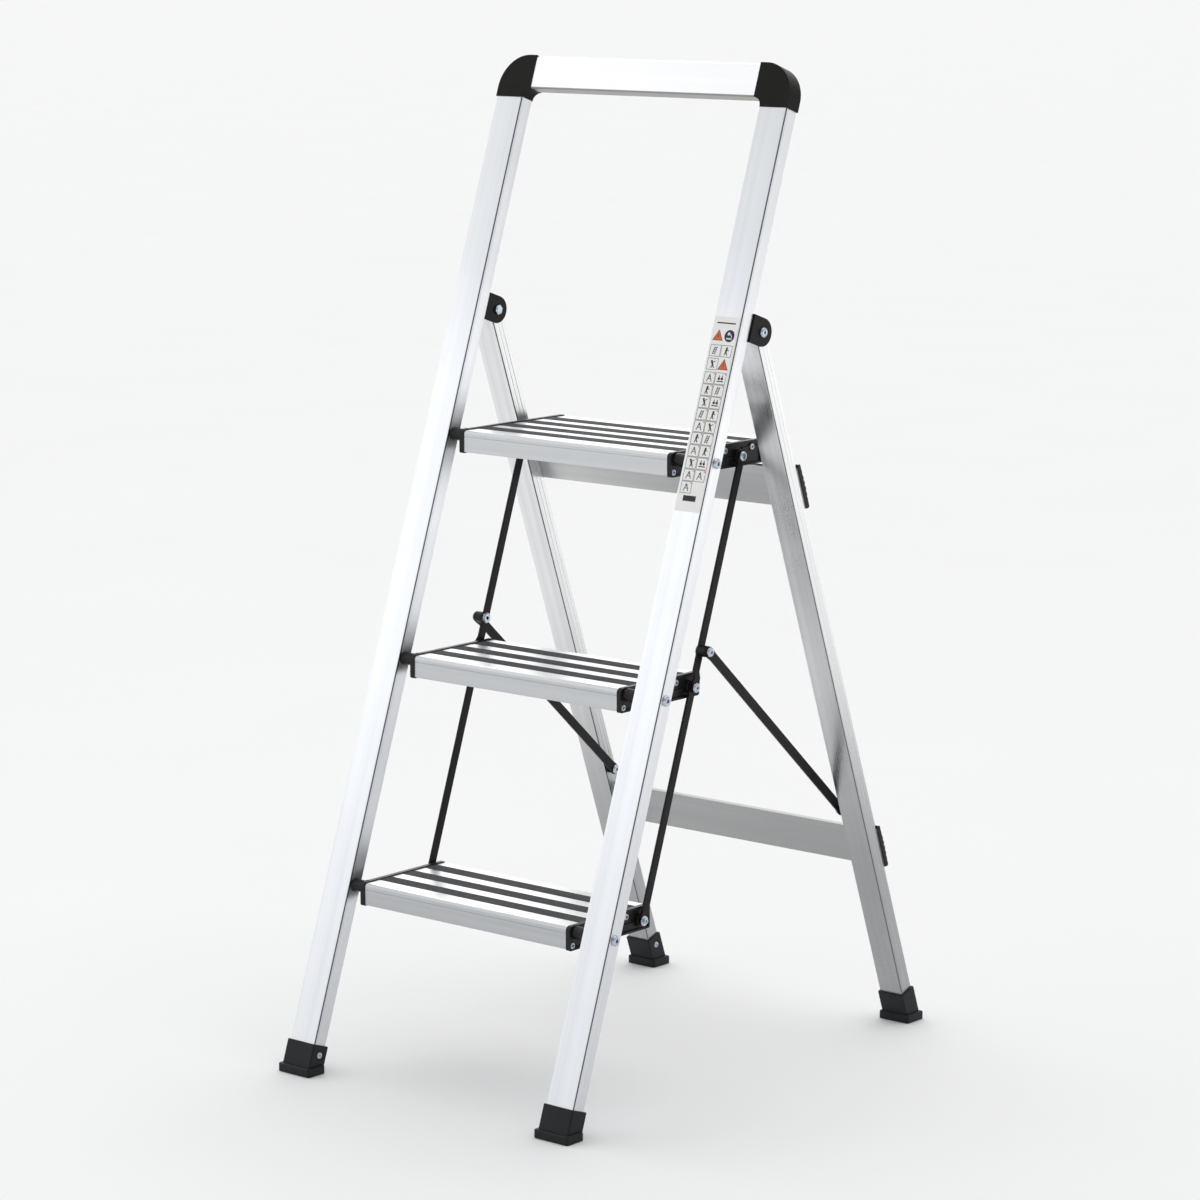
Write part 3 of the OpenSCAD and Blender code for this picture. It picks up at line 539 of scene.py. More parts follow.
# ---- Feet ----
# Moulded black shoes: a sleeve around the end of the tube, and a wider sole flat on the floor with a
# bevelled upper edge. One rivet on the inner side holds each to its tube.

leg_lean = math.radians(19.47704)
leg_y, rear_y, leg_in, leg_out, leg_depth, rear_sole_y = 287.8528, 307.9, 172.3, 203.0, 18.9, 283.7928
on_leg = to_metres @ at(0, leg_y, 0) @ Matrix.Rotation(leg_lean, 4, "X")
foot_finish = moulded("foot_rubber", (0.011, 0.012, 0.014), 0.44, 0.0012)


def edges_past(made, along, limit):
    """The edges that lie wholly past a limit on one axis."""
    axis = "xyz".index(along)
    return [edge for edge in made.edges if min(v.co[axis] for v in edge.verts) > limit]


sleeve_wall, sleeve_foot, sleeve_height = 2.2, 4.0, 36.0
sole_height, sole_side, sole_front = 9.5, 5.2, 3.3


def shoe(inner, outer, y0, y1, tube_depth, lean, base_y):
    """Sleeve and sole of a foot, in the object's own axes."""
    around = box_outline(inner - sleeve_wall, outer + sleeve_wall, -sleeve_wall, tube_depth + sleeve_wall)
    sleeve = extrusion(around, -tube_depth, sleeve_height)
    round_edges(sleeve, edges_along(sleeve, "z"), 1.6, 4)
    round_edges(sleeve, edges_past(sleeve, "z", sleeve_height - 0.01), 0.7, 2)
    moved(sleeve, at(0, base_y, 0) @ Matrix.Rotation(lean, 4, "X"))
    every = list(sleeve.verts) + list(sleeve.edges) + list(sleeve.faces)
    inside_sole = (0, 0, sleeve_foot)
    bmesh.ops.bisect_plane(sleeve, geom=every, plane_co=inside_sole, plane_no=(0, 0, 1), clear_inner=True)
    close_gaps(sleeve)
    around = box_outline(inner - sole_side, outer + sole_side, y0 - sole_front, y1 + sole_front)
    sole = extrusion(around, 0, sole_height)
    round_edges(sole, edges_along(sole, "z"), 3.0, 5)
    round_edges(sole, edges_past(sole, "z", sole_height - 0.01), 1.7, 3)
    round_edges(sole, [e for e in sole.edges if max(v.co.z for v in e.verts) < 0.01], 0.6, 2)
    return join([sleeve, sole])


for side, flip in both_hands:
    stile_back = front_y + stile_depth / math.cos(stile_lean)
    front_shoe = shoe(stile_in, stile_out, front_y, stile_back, stile_depth, -stile_lean, front_y)
    finished(front_shoe, "front_shoe_" + side, flip @ to_metres, foot_finish, "front_frame",
             ["front_foot_" + side])
    rear_shoe = shoe(leg_in, leg_out, rear_sole_y, rear_y, leg_depth, leg_lean, leg_y)
    finished(rear_shoe, "rear_shoe_" + side, flip @ to_metres, foot_finish, "rear_frame",
             ["rear_foot_" + side])

inward = Matrix.Rotation(math.radians(-90), 4, "Y")
shoe_rivet_run = 25
for which, place, inner, depth, body in (
    ("front", on_stile, stile_in, stile_depth, "front_frame"),
    ("rear", on_leg, leg_in, leg_depth, "rear_frame"),
):
    at_rivet = at(inner - sleeve_wall, depth / 2, shoe_rivet_run) @ inward
    studs = repeated(turned(rivet_profile), both_sides([at_rivet]))
    finished(studs, which + "_shoe_rivets", place, zinc, body, [which + "_foot_rivets"])

# ---- Rear legs ----
# Two narrower lipped tubes, hinged between the cheeks of the clevises, with two fine grooves along
# their sides. Their upper ends are closed by black plugs.

rearwards = (0, math.cos(leg_lean), math.sin(leg_lean))
seam_place = (math.cos(leg_lean) * leg_y + seam_depth) / 1000
# Painted shade: the legs darken strongly towards the floor by low, and a dark band runs in the groove behind
# the lip.
leg_finish = anodised("leg_anodised", 0.0, 0.0010, turn=leg_lean, dull=0.30, light=(0.84, 0.845, 0.85),
                      dark=(0.72, 0.725, 0.73), low=0.66,
                      shade_band=(rearwards, seam_place, seam_half, (0.14, 0.145, 0.15)))
leg_hinge_run, leg_over = 857.365, 10.0
leg_top = leg_hinge_run + leg_over
for side, flip in both_hands:
    finished(
        lipped_tube(leg_in, leg_out, leg_depth, 5.4, leg_top, (8.0, 13.5)), "leg_tube_" + side,
        flip @ on_leg, leg_finish, "rear_frame", ["leg_" + side],
    )
plug = extrusion(box_outline(leg_in + 0.1, leg_out - 0.1, 0.1, leg_depth - 0.1), leg_top, leg_top + 1.5)
round_edges(plug, edges_along(plug, "z"), 1.2, 3)
round_edges(plug, edges_past(plug, "z", leg_top + 1.4), 0.5, 2)
plugs = repeated(plug, [flip for side, flip in both_hands])
finished(plugs, "leg_plugs", on_leg, bush_finish, "rear_frame", ["leg_caps"])

bushing, shade = new_finish("nylon")
coat(bushing, shade.grain((0.004,) * 3, 3.0).between((0.80, 0.79, 0.75), (0.88, 0.87, 0.84)), 0.42, 0.0)
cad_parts["hinge_bushes"].data.materials.clear()
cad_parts["hinge_bushes"].data.materials.append(bushing)

# ---- Crossbars ----
# Two shallow aluminium channels riveted across the legs' rear faces, open to the rear. Ribbed and
# crowned black plugs close both ends of each.

bar_height, bar_depth, wall, plug_height, plug_length, rib_count = 47.0, 4.6, 1.6, 51.6, 19.0, 8
drops = (("upper", 166.0), ("lower", 615.5))
bar_runs = [(which, leg_hinge_run - drop - bar_height) for which, drop in drops]
# Painted shade: the channels darken towards the floor by low.
crossbar_finish = anodised("crossbar_anodised", 0.9, 0.0012, turn=leg_lean, dull=0.38,
                           light=(0.62, 0.625, 0.625), dark=(0.53, 0.535, 0.535), low=0.45)
for which, run in bar_runs:
    channel = extrusion([
        (leg_depth, run), (leg_depth + bar_depth, run), (leg_depth + bar_depth, run + wall),
        (leg_depth + wall, run + wall), (leg_depth + wall, run + bar_height - wall),
        (leg_depth + bar_depth, run + bar_height - wall), (leg_depth + bar_depth, run + bar_height),
        (leg_depth, run + bar_height),
    ], -leg_out, leg_out, "x")
    round_edges(channel, edges_along(channel, "x"), 0.45, 2)
    finished(channel, which + "_channel", on_leg, crossbar_finish, "rear_frame",
             [which + "_crossbar"])

    rear_edge = leg_depth + bar_depth
    inner_outline = box_outline(leg_depth + wall, rear_edge + 0.7, run + wall, run + bar_height - wall)
    base = extrusion(inner_outline, leg_out - plug_length, leg_out + 0.5, "x")
    end_outline = box_outline(leg_depth + 0.4, rear_edge + 1, run, run + plug_height)
    end = extrusion(end_outline, leg_out, leg_out + 1.2, "x")
    round_edges(end, edges_along(end, "x"), 1.6, 4)
    ribs = [base, round_edges(end, edges_past(end, "x", leg_out + 1.1), 0.4, 2)]
    half_count, rib_half = (rib_count - 1) / 2, 2.4
    for k in range(rib_count):
        middle = run + (k + 0.5) * plug_height / rib_count
        crown = rear_edge + 2.0 - ((k - half_count) / half_count) ** 2 * 1.3
        rib_outline = box_outline(rear_edge + 0.02, crown, middle - rib_half, middle + rib_half)
        rib = extrusion(rib_outline, leg_out - plug_length + 0.2, leg_out + 1.1, "x")
        rib_edges = set(edges_past(rib, "y", crown - 0.01) + edges_past(rib, "x", leg_out + 1.0))
        ribs.append(round_edges(rib, [edge for edge in rib.edges if edge in rib_edges], 0.35, 2))
    end_plugs = repeated(join(ribs), [flip for side, flip in both_hands])
    finished(end_plugs, which + "_channel_plugs", on_leg, bush_finish, "rear_frame",
             [which + "_crossbar_caps"])

channel_rivets = repeated(turned(rivet_profile), both_sides([
    at(leg_in + 6.5, leg_depth + wall, run + up * bar_height) @ to_back
    for which, run in bar_runs for up in (0.25, 0.75)]))
finished(channel_rivets, "channel_rivets", on_leg, zinc, "rear_frame",
         ["crossbar_rivets"])

# ---- Treads ----
# Hollow aluminium extrusions with a rounded nose, open below between webs. The top has long recesses for the
# grip strips, and the bare bands between them have fine lines and a lighter copy of the tread's finish,
# painted light.

# Painted light and shade: the tread finish darkens towards the floor by low, and the faces that look up take
# a lighter copy of it.
tread_finish = anodised("tread_anodised", 0.9, 0.0011, dull=0.36, light=(0.63, 0.645, 0.66),
                        dark=(0.55, 0.565, 0.58), low=0.24)
lit_land_finish = anodised("tread_land_painted_light", 0.9, 0.0009, dull=0.32, light=(0.94, 0.945, 0.95),
                       dark=(0.88, 0.885, 0.89), low=0.02)
tread_end, nose, top_z, under_z = 145.4, -8.6, 6.3, -17.7
grip_half, grip_deep, web_half, web_top = 10.0, 1.6, 0.9, 2.9
step_back, platform_back = 119.4, 159.9
step_strips = (24, 60, 96)
levels = (
    ("lower_step", "lower", pivots[0], step_back, step_strips),
    ("middle_step", "middle", pivots[1], step_back, step_strips),
    ("platform", "platform", pivots[2], platform_back, (*step_strips, 132)),
)


def at_pivot(y, z):
    return to_metres @ at(0, y, z)


def fine_line(y):
    """A shallow V in the tread's top."""
    return [(y - 0.3, top_z), (y, top_z - 0.22), (y + 0.3, top_z)]


for body, which, (pivot_y, pivot_z), back, strips in levels:
    outline = [(nose, under_z), (nose, top_z - 7.2), (nose + 0.45, top_z - 6.8), (nose, top_z - 6.4),
               (nose, top_z)]
    for y in (0.0, 3.4, 6.8, 10.2):
        outline += fine_line(y)
    for k, strip in enumerate(strips):
        outline += [(strip - grip_half, top_z), (strip - grip_half, top_z - grip_deep),
                    (strip + grip_half, top_z - grip_deep), (strip + grip_half, top_z)]
        bare = (strips[k + 1] if k + 1 < len(strips) else back + grip_half) - grip_half
        middle = (strip + grip_half + bare) / 2
        for y in (middle - 4.5, middle - 1.5, middle + 1.5, middle + 4.5):
            if y < back - 2:
                outline += fine_line(y)
    outline += [(back, top_z), (back, under_z)]
    webs = [nose + web_half] + [(a + b) / 2 for a, b in zip(strips, strips[1:])] + [back - web_half]
    for start, end in reversed(list(zip(webs, webs[1:]))):
        outline += [(end - web_half, under_z), (end - web_half, web_top),
                    (start + web_half, web_top), (start + web_half, under_z)]
    tread = extrusion(outline, -tread_end, tread_end, "x")
    round_edges(tread, edges_along(tread, "x", lambda m: m.y < nose + 0.01 and m.z > top_z - 0.01), 4.0, 8)
    round_edges(tread, edges_along(tread, "x", lambda m: m.y < nose + 0.01 and m.z < under_z + 0.01), 0.85, 3)
    round_edges(tread, edges_along(tread, "x", lambda m: m.y > back - 0.01), 0.8, 3)
    finished(tread, which + "_tread_bar", at_pivot(pivot_y, pivot_z), tread_finish, body,
             [which + "_tread"], 30, lit_land_finish)

# ---- Grip strips ----
# Dark ribbed rubber pressed into the treads' recesses, with small slanted nicks across the ribs. They
# stand half a millimetre above the aluminium.


def ribbed_rubber(name):
    """Dark rubber with slanted nicks, dust and paler patches."""
    made, tone = new_finish(name)
    place = tone.node("ShaderNodeTexCoord", out="Object")
    slanted = tone.node(
        "ShaderNodeMapping", {"vector_type": "TEXTURE"},
        {"Vector": place, "Rotation": (0, 0, math.radians(38)), "Scale": (0.0011, 0.0011, 0.0011)},
    )
    nicks = tone.node("ShaderNodeTexWave", {"wave_type": "BANDS", "bands_direction": "X"},
                      {"Vector": slanted, "Scale": 0.55, "Distortion": 0.6, "Detail": 1.0}, out="Fac")
    cloud = tone.grain((0.02, 0.02, 0.02), 4.0)
    dust = tone.grain((0.0016, 0.0016, 0.0016), 4.0)
    shade = (nicks * 0.35 + cloud * 0.4 + dust * 0.3).step(0.2, 0.9)
    rough = 0.5 + cloud * 0.16 + nicks * 0.06
    colour = shade.between((0.014, 0.016, 0.021), (0.038, 0.042, 0.052))
    return coat(made, colour, rough, 0.0, nicks * 0.7 + dust * 0.3, 0.0002, 0.7, 0.5)


rubber = ribbed_rubber("grip_rubber_ribbed")
rib_spacing = 3.2
for body, which, (pivot_y, pivot_z), back, strips in levels:
    lines = []
    for strip in strips:
        low, valley, crest, half = top_z - grip_deep, top_z - 0.1, top_z + 0.5, grip_half - 0.1
        outline = [(strip - half, low), (strip - half, valley)]
        for k in range(6):
            y = strip + (k - 2.5) * rib_spacing
            outline += [(y - 1.25, valley), (y - 0.95, crest), (y + 0.95, crest), (y + 1.25, valley)]
        outline += [(strip + half, valley), (strip + half, low)]
        bar = extrusion(outline, -tread_end + 0.1, tread_end - 0.1, "x")
        round_edges(bar, edges_along(bar, "x", lambda m: m.z > top_z + 0.4), 0.22, 2)
        lines.append(bar)
    finished(join(lines), which + "_grip_strips", at_pivot(pivot_y, pivot_z), rubber, body,
             [which + "_grips"])

# ---- Step brackets and their screws ----
# Moulded black end plates, screwed to the ends of each tread. A rim runs round the outer face, with
# bosses for the pivot and the tie bolt and ribs between them.

bracket_finish = moulded("bracket_plastic", (0.011, 0.0105, 0.0105), 0.34)
plate_out, tie_back, tie_drop, tie_in = 148.4, 104.5, 7.5, 153.2
screw_seat = plate_out + 0.6


def boss(profile, x, y, z):
    """A turned boss that stands on the outer face."""
    return moved(turned(profile), at(x, y, z) @ to_side)


for body, which, (pivot_y, pivot_z), back, strips in levels:
    front, rear, low, high = nose - 1.2, back + 1.2, under_z - 1.2, top_z + 1.2
    screws = [(-4.6, -13.7), (82.5, 0.0)] + ([(128.5, 0.0)] if body == "platform" else [])
    dish = extrusion(box_outline(front, rear, low, high), tread_end, rim_out, "x")
    round_edges(dish, edges_along(dish, "x", lambda m: m.y < front + 0.1 and m.z > high - 0.1), 5.4, 7)
    round_edges(dish, edges_along(dish, "x", lambda m: m.y < front + 0.1 and m.z < low + 0.1), 2.4, 5)
    round_edges(dish, edges_along(dish, "x", lambda m: m.y > rear - 0.1), 2.4, 5)
    outer = max(dish.faces, key=lambda f: f.calc_center_median().x)
    bmesh.ops.inset_region(dish, faces=[outer], thickness=2.2, use_even_offset=True)
    outer = max(dish.faces, key=lambda f: (round(f.calc_center_median().x, 2), f.calc_area()))
    pull(dish, outer, (plate_out - rim_out, 0, 0))
    if outer.is_valid:
        bmesh.ops.delete(dish, geom=[outer], context="FACES_ONLY")
    rims = [e for e in dish.edges if min(v.co.x for v in e.verts) > rim_out - 0.01
            or max(v.co.x for v in e.verts) < tread_end + 0.01]
    round_edges(dish, rims, 0.5, 2)
    shapes = [
        dish,
        boss([(4.2, 0), (7.6, 0), (8.0, -0.4), (8.0, -2.6), (4.2, -2.6)], rim_out, 0, 0),
        boss([(3.1, 0), (6.6, 0), (7.0, -0.4), (7.0, -4.8), (3.1, -4.8)], tie_in - 0.2, tie_back, -tie_drop),
    ]
    for y, z in screws:
        shapes.append(boss([(1.9, 0), (4.1, 0), (4.4, -0.3), (4.4, -0.8), (1.9, -0.8)], screw_seat, y, z))
    ribs = [(14, 74, -0.8, 0.8), (10, 96, -9.8, -8.2),
            (30, 31.6, low + 2, high - 2), (56, 57.6, low + 2, high - 2)]
    if body == "platform":
        ribs += [(112, 124, -0.8, 0.8), (133, rear - 2, -0.8, 0.8), (143, 144.6, low + 2, high - 2)]
    for rib_sides in ribs:
        rib = extrusion(box_outline(*rib_sides), plate_out - 0.3, rim_out - 0.7, "x")
        shapes.append(round_edges(rib, edges_past(rib, "x", rim_out - 0.8), 0.3, 2))
    place = at_pivot(pivot_y, pivot_z)
    whole = join(shapes)
    for side, flip in both_hands:
        finished(whole.copy(), which + "_end_plate_" + side, flip @ place, bracket_finish, body,
                 [which + "_bracket_" + side])
    whole.free()
    heads = repeated(socket_head(3.6, 2.0, cross(2.0, 0.6), 2.5, 1.7, steps=30), both_sides([
        at(screw_seat, y, z) @ to_side for y, z in screws]))
    finished(heads, which + "_plate_screws", place, zinc, body,
             [which + "_bracket_screws"])

# ---- Tie bolts ----
# Shouldered bolts at the rear of each step. The lowest one ends in a washer and a drilled stub; the
# others have domed heads, the middle one further out because two bars lap on it.

tie_out, lap_out, slack = 156.0, 159.0, 0.2
drilled_stub = [(0, 1.9), (1.3, 1.9), (1.45, 3.2), (2.0, 3.6), (2.9, 3.5), (3.25, 3.1), (3.25, 1.3),
                (5.0, 1.2), (5.5, 0.8), (5.5, 0), (0, 0)]


def domed_head():
    return socket_head(5.3, 2.6, hexagon(2.2), 3.0, 2.3)


for body, which, (pivot_y, pivot_z), back, strips in levels:
    seat = (lap_out if which == "middle" else tie_out) + slack
    shape = turned(drilled_stub) if which == "lower" else domed_head()
    heads = repeated(shape, both_sides([at(seat, tie_back, -tie_drop) @ to_side]))
    finished(heads, which + "_tie_bolt_heads", at_pivot(pivot_y, pivot_z), zinc, body,
             [which + "_tie_bolts"])

# ---- Tie bars ----
# Flat black steel bars that join the steps' rear corners on each side. The upper bars are joggled out
# at their lower ends to lap over the lower bars.

bar_finish = powder_coated("bar_powder_coat", (0.010, 0.0098, 0.0095), 0.38)
step_run = step_rise / math.cos(stile_lean)


def flat_bar(length, width, eye, x0, x1):
    """A bar along Z with round eyes at both ends, a little wider than the bar."""
    half = width / 2
    right = [(eye, -eye), (eye, 4), (half, 9), (half, length - 9), (eye, length - 4), (eye, length + eye)]
    made = extrusion([(-eye, -eye)] + right + [(-y, z) for y, z in right[:0:-1]], x0, x1, "x")
    tips = edges_along(made, "x", lambda m: m.z < -eye + 0.1 or m.z > length + eye - 0.1)
    round_edges(made, tips, eye - 0.05, 9)
    sides = [e for e in made.edges if abs(e.verts[0].co.x - e.verts[1].co.x) < 0.01]
    return round_edges(made, sides, 0.4, 2)


def tie_place(level):
    y, z = pivots[level]
    return at_pivot(y + tie_back, z - tie_drop) @ Matrix.Rotation(-stile_lean, 4, "X")


tie_width, tie_eye, brace_height = 9.6, 5.7, 40.0
joggle_low, joggle_high = 11.0, 18.0
for side, flip in both_hands:
    finished(
        flat_bar(step_run, tie_width, tie_eye, tie_in, tie_out), "lower_tie_" + side,
        flip @ tie_place(0), bar_finish, "lower_tie_bars", ["lower_tie_bar_" + side],
    )
    upper = flat_bar(step_run, tie_width, tie_eye, tie_in, tie_out)
    for height in (joggle_low, joggle_high):
        every = list(upper.verts) + list(upper.edges) + list(upper.faces)
        bmesh.ops.bisect_plane(upper, geom=every, plane_co=(0, 0, height), plane_no=(0, 0, 1))
    lapped = [v for v in upper.verts if v.co.z < joggle_low + 0.1]
    bmesh.ops.translate(upper, verts=lapped, vec=(lap_out - tie_out, 0, 0))
    around = box_outline(-tie_eye, tie_eye, brace_height - tie_eye, brace_height + tie_eye)
    eye = extrusion(around, tie_in + 0.02, tie_out - 0.02, "x")
    round_edges(eye, edges_along(eye, "x"), tie_eye - 0.1, 9)
    finished(
        join([upper, eye]), "upper_tie_" + side,
        flip @ tie_place(1), bar_finish, "upper_tie_bars", ["upper_tie_bar_" + side],
    )

# ---- Braces ----
# Flat black bars from the upper tie bars down to the rear legs. A spacer and a domed bolt hold each
# off its tie bar, and a bolt with a washer meets the leg.

brace_top = Vector((0, -29.39685, 470.33209))
brace_foot = Vector((0, 207.28126, 256.15900))
brace_in, brace_out = 165.0, 167.8
reach = brace_foot - brace_top
along_brace = Matrix.Rotation(math.atan2(reach.z, reach.y) - math.pi / 2, 4, "X")
for side, flip in both_hands:
    finished(
        flat_bar(reach.length, 10.4, 6.0, brace_in, brace_out), "brace_bar_" + side,
        flip @ to_metres @ Matrix.Translation(brace_top) @ along_brace, bar_finish, "braces",
        ["brace_" + side],
    )

spacer_length = brace_in - slack - tie_out
spacer = [(3.1, 0), (6.0, 0), (6.2, 0.3), (6.2, spacer_length - 0.3), (6.0, spacer_length),
          (3.1, spacer_length)]
at_top = Matrix.Translation(brace_top)
spacers = repeated(turned(spacer), both_sides([at_top @ at(tie_out, 0, 0) @ to_side]))
finished(spacers, "brace_spacer_set", to_metres, bush_finish, "upper_tie_bars",
         ["brace_spacers"])
outer_heads = repeated(domed_head(), both_sides([
    at_top @ at(brace_out + slack, 0, 0) @ to_side]))
inner_heads = repeated(socket_head(6.0, 2.0, hexagon(2.3), 3.3, 1.8), both_sides([
    at_top @ at(tie_in, 0, 0) @ inward]))
finished(join([outer_heads, inner_heads]), "brace_top_bolts", to_metres, zinc, "upper_tie_bars",
         ["brace_upper_bolts"])

at_foot = Matrix.Translation(brace_foot)
foot_heads = repeated(domed_head(), both_sides([
    at_foot @ at(brace_in, 0, 0) @ inward]))
finished(foot_heads, "brace_foot_bolts", to_metres, zinc, "braces",
         ["brace_lower_bolts"])
washer = [(3.1, 0), (5.1, 0), (5.3, 0.2), (5.3, 3.9), (5.1, 4.1), (3.1, 4.1)]
washers = repeated(turned(washer), both_sides([at_foot @ at(brace_out, 0, 0) @ to_side]))
finished(washers, "brace_foot_washers", to_metres, bush_finish, "braces", ["brace_washers"])

# ---- Label ----
# A printed film on the front of the right-hand stile: two columns of small generic pictograms in thin
# frames, two orange triangles, a dark round mark and a plain dark bar. It carries no words.

label_x0, label_x1, label_low, label_high = 169.35, 202.75, 667.0, 877.0
film, shade = new_finish("label_film_pale")
paper = shade.grain((0.02, 0.02, 0.02), 4.0)
coat(film, paper.between((0.91, 0.905, 0.885), (0.96, 0.955, 0.935)), 0.42 + paper * 0.12, 0.0,
     shade.grain((0.002,) * 3, 2.0), 0.00002, 0.4)
sheet = extrusion(box_outline(label_x0, label_x1, -0.2, 0), label_low, label_high)
round_edges(sheet, edges_along(sheet, "y"), 1.5, 4)
finished(sheet, "label_sheet", on_stile, film, "front_frame", ["pictogram_label"])


def printed(corners, thick=0.04):
    """A patch of ink on the label's face."""
    made = bmesh.new()
    face = made.faces.new([made.verts.new((x, -0.2, z)) for x, z in corners])
    pull(made, face, (0, -thick, 0))
    bmesh.ops.recalc_face_normals(made, faces=made.faces)
    return made


def stroke(start, end, width=0.9):
    """A printed line between two points of the label's face."""
    start, end = Vector(start), Vector(end)
    across = Vector((start.y - end.y, end.x - start.x)).normalized() * width / 2
    return printed([start + across, end + across, end - across, start - across])


def strokes(x, z, *lines):
    """Lines around a middle, each (x0, z0, x1, z1, width)."""
    return [stroke((x + x0, z + z0), (x + x1, z + z1), width) for x0, z0, x1, z1, width in lines]


def frame_lines(x, z):
    w, h = 6.9, 6.1
    return strokes(x, z, (-w, -h, w, -h, 0.5), (-w, h, w, h, 0.5), (-w, -h, -w, h, 0.5), (w, -h, w, h, 0.5))


def small_cross(x, z):
    return strokes(x, z, (4.6, 3.9, 6.2, 5.4, 0.4), (4.6, 5.4, 6.2, 3.9, 0.4))


def disc(x, z, radius, sides=12):
    angles = [2 * math.pi * k / sides for k in range(sides)]
    return printed([(x + radius * math.cos(angle), z + radius * math.sin(angle)) for angle in angles])


def ink(name, colour, dull=0.5):
    """Printing ink, slightly uneven."""
    made, tone = new_finish(name)
    blot = tone.grain((0.0012,) * 3, 3.0)
    thin, thick = tuple(v * 0.8 for v in colour), tuple(min(1, v * 1.25) for v in colour)
    return coat(made, blot.between(thin, thick), dull + blot * 0.1, 0.0)


def ladder(x, z, lean=1.2):
    rails = strokes(x, z, (-2 - lean, -4.2, -1, 4.2, 0.9), (1 - lean, -4.2, 2, 4.2, 0.9))
    shifts = [(-lean * (0.5 - k / 6), 2 * k - 3) for k in range(4)]
    return rails + strokes(x, z, *((shift - 1.6, up, shift + 1.2, up, 0.7) for shift, up in shifts))


def trestle(x, z):
    return strokes(
        x, z, (-3.2, -4, 0, 4, 0.9), (3.2, -4, 0, 4, 0.9), (-1.8, -1, 1.8, -1, 0.8), (-1, 1.4, 1, 1.4, 0.8))


def climber(x, z):
    return [disc(x + 0.4, z + 3.3, 1.3)] + strokes(
        x, z, (0, 2.4, -0.4, -0.8, 2.2), (-0.4, -0.4, 1.6, -4.2, 1.2), (-0.4, -0.4, -2.0, -4.2, 1.2),
        (0, 1.8, 3.2, 0.6, 0.9))


def reacher(x, z):
    return [disc(x - 1.4, z + 3.0, 1.3)] + strokes(
        x, z, (-1, 2.0, 0.6, -1, 2.2), (-0.6, 1.4, 3.4, 3.2, 0.9), (0.6, -1, -1.4, -4.2, 1.2),
        (0.6, -1, 2.6, -4.2, 1.2))


def pair_of_feet(x, z):
    return [disc(x - 2, z, 1.6), disc(x + 2, z, 1.6)] + strokes(
        x, z, (-4.4, -3, 4.4, -3, 1.1), (-2, 3.6, -2, 1, 1.0), (2, 3.6, 2, 1, 1.0))


marks, frames, small_crosses, triangles, triangle_rims = [], [], [], [], []
pictures = (ladder, climber, reacher, trestle, pair_of_feet, climber, ladder, reacher, pair_of_feet,
            ladder, climber, trestle, reacher, climber, ladder, trestle, climber, reacher, pair_of_feet,
            trestle, trestle, trestle)
left_column, right_column = stile_middle - 7.4, stile_middle + 7.4
top_row, second_row = label_high - 37, label_high - 51.5
rows = [top_row, second_row] + [label_high - 66.5 - 13.1 * k for k in range(10)]
cells = [(x, z) for z in rows for x in (left_column, right_column)
         if (x, z) not in ((right_column, second_row), (right_column, rows[-1]))]
for picture, (x, z) in zip(pictures, cells):
    marks += picture(x, z)
    frames += frame_lines(x, z)
    if z < second_row:
        small_crosses += small_cross(x, z)
bar_low = label_high - 199
marks.append(printed(box_outline(stile_middle - 8.5, stile_middle + 8.5, bar_low, bar_low + 6)))
marks.append(stroke((left_column - 5, label_high - 7), (right_column + 5, label_high - 7), 1.4))
badge = label_high - 20.5
round_mark = [disc(right_column, badge, 6.6, 28)]
white_marks = [disc(right_column - 1.2, badge + 2.3, 1.8)] + strokes(
    right_column, badge, (-3.6, -2.9, 3.6, -2.9, 1.6), (0.6, 2.5, 3.2, -1.1, 1.0))
for x, z in ((left_column, badge), (right_column, second_row)):
    triangle_rims.append(printed([(x - 7, z - 5.6), (x + 7, z - 5.6), (x, z + 6.4)], 0.035))
    triangles.append(printed([(x - 5.7, z - 4.9), (x + 5.7, z - 4.9), (x, z + 5.0)], 0.045))
    marks.append(stroke((x, z - 2.6), (x, z + 1.8)))
for name, shapes, finish, lift in (
    ("label_marks", marks, ink("ink_black", (0.012, 0.012, 0.013)), 0.012),
    ("label_frames", frames, ink("ink_grey", (0.06, 0.062, 0.065)), 0),
    ("label_crosses", small_crosses, ink("ink_red", (0.55, 0.05, 0.03)), 0),
    ("label_round_mark", round_mark, ink("ink_navy", (0.012, 0.014, 0.05)), 0),
    ("label_round_figure", white_marks, ink("ink_white", (0.72, 0.72, 0.72)), 0.01),
    ("label_triangle_rims", triangle_rims, ink("ink_dark", (0.04, 0.035, 0.03)), 0),
    ("label_triangles", triangles, ink("ink_orange", (0.72, 0.13, 0.02)), 0),
):
    finished(join(shapes), name, on_stile @ at(0, -lift, 0), finish, "front_frame",
             ["pictogram_label"])

# ---- Floor, lights and camera ----
# A plain pale floor and soft studio light: a bright even room that is whitest behind the object, a
# broad panel in front of it, a weaker one to the right, and soft light from overhead.

floor_mesh = bmesh.new()
bmesh.ops.create_grid(floor_mesh, x_segments=2, y_segments=2, size=60.0)
bmesh.ops.translate(floor_mesh, verts=floor_mesh.verts, vec=(0, 2.0, -0.0002))
ground = bpy.data.meshes.new("studio_floor")
floor_mesh.to_mesh(ground)
floor_mesh.free()
pale, shade = new_finish("studio_floor_paint")
coat(pale, shade.grain((0.4,) * 3, 2.0).between((0.86, 0.86, 0.86), (0.88, 0.88, 0.88)), 0.8, 0.0, gloss=0.1)
ground.materials.append(pale)
studio_floor = bpy.data.objects.new("studio_floor", ground)
bpy.context.scene.collection.objects.link(studio_floor)

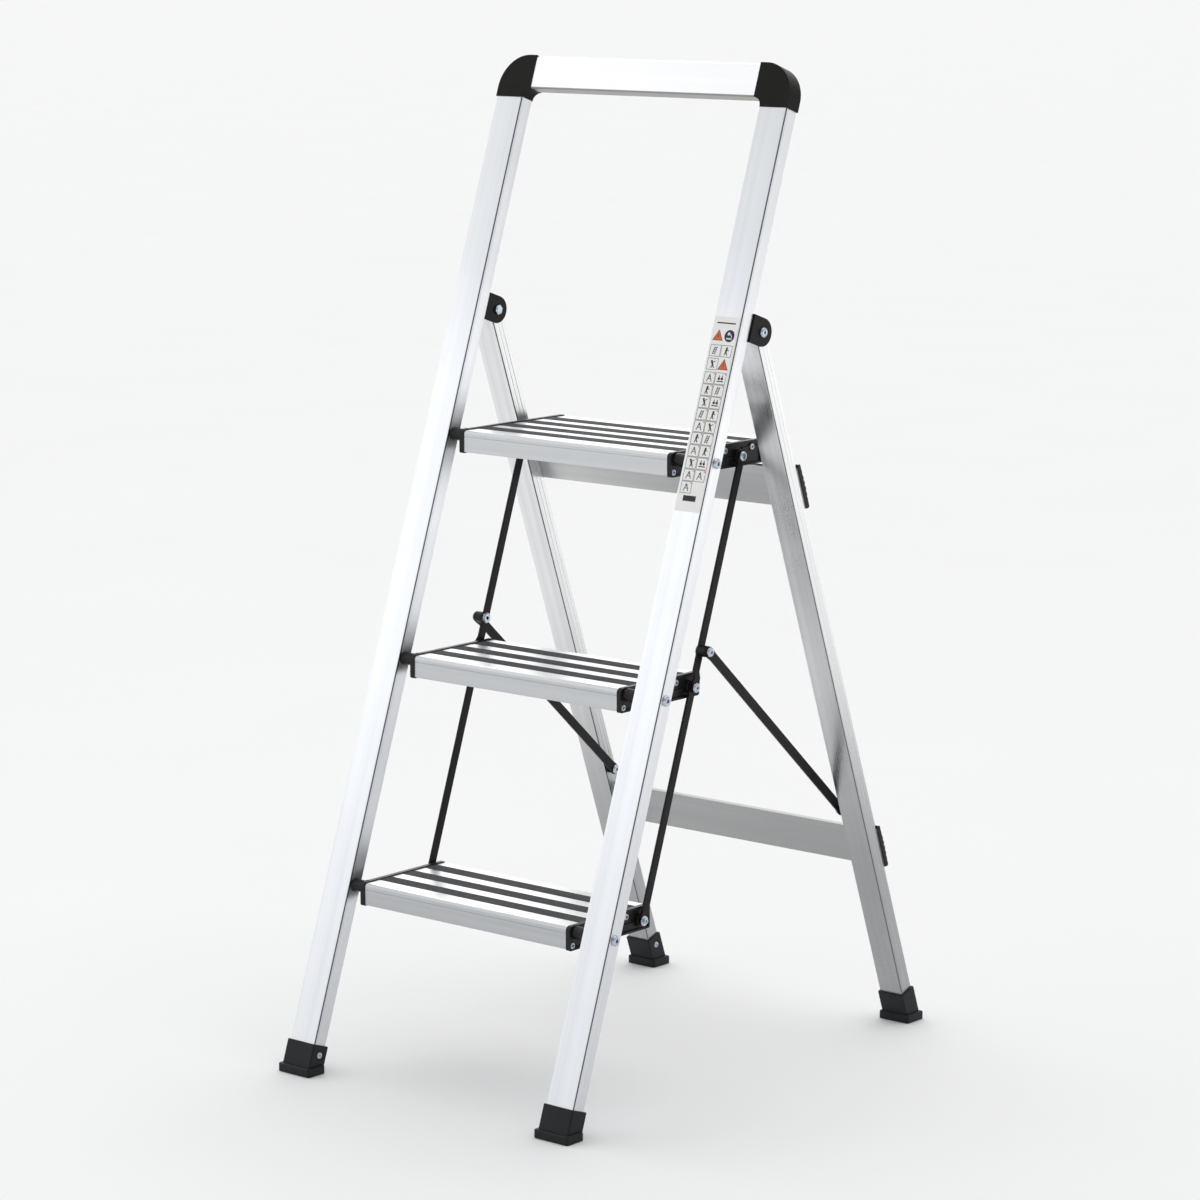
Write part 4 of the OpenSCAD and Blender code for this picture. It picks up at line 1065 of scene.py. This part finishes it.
room = bpy.data.worlds.new("room")
room.use_nodes = True
walls = Tone(room.node_tree)
behind = walls.along((-0.88, 0.47, 0.1))
wall_colour = behind.step(-0.1, 0.9).between((0.25, 0.253, 0.258), (1.0, 1.0, 1.0))
room.node_tree.links.new(wall_colour.socket, room.node_tree.nodes["Background"].inputs["Color"])
room.node_tree.nodes["Background"].inputs["Strength"].default_value = 1.6
bpy.context.scene.world = room
bpy.context.scene.view_settings.view_transform = "Standard"


def soft_light(name, place, target, width, height, watts, colour=(1, 1, 1)):
    lamp = bpy.data.lights.new(name, "AREA")
    lamp.shape, lamp.size, lamp.size_y = "RECTANGLE", width, height
    lamp.energy, lamp.color = watts, colour
    holder = bpy.data.objects.new(name, lamp)
    holder.location = place
    holder.rotation_mode = "QUATERNION"
    holder.rotation_quaternion = (Vector(target) - Vector(place)).to_track_quat("-Z", "Y")
    bpy.context.scene.collection.objects.link(holder)


soft_light("front_light", (-2.2, -3.2, 1.85), (0, 0, 0.6), 2.6, 2.3, 9.5, (0.96, 0.98, 1.0))
soft_light("right_light", (2.7, 3.0, 0.5), (0, 0, 0.6), 2.6, 1.0, 4.6, (1.0, 0.985, 0.96))
sun = bpy.data.lights.new("overhead_light", "SUN")
sun.energy, sun.angle = 0.9, math.radians(70)
overhead = bpy.data.objects.new("overhead_light", sun)
overhead.rotation_euler = (math.radians(-12), math.radians(14), 0)
bpy.context.scene.collection.objects.link(overhead)

turn, tilt, roll = math.radians(40.522), math.radians(-9.726), math.radians(-0.101)
forward = Vector((-math.sin(turn) * math.cos(tilt), math.cos(turn) * math.cos(tilt), math.sin(tilt)))
level_right = Vector((math.cos(turn), math.sin(turn), 0))
level_up = level_right.cross(forward)
right = math.cos(roll) * level_right + math.sin(roll) * level_up
up = -math.sin(roll) * level_right + math.cos(roll) * level_up
lens = bpy.data.cameras.new("camera")
lens.lens, lens.sensor_width, lens.shift_x, lens.shift_y = 119.967, 36.0, -0.0002, -0.01324
lens.clip_start, lens.clip_end = 0.1, 100.0
camera = bpy.data.objects.new("camera", lens)
facing = Matrix((right, up, -forward)).transposed().to_4x4()
camera.matrix_world = at(2.79992, -3.28832, 1.26180) @ facing
bpy.context.scene.collection.objects.link(camera)
bpy.context.scene.camera = camera
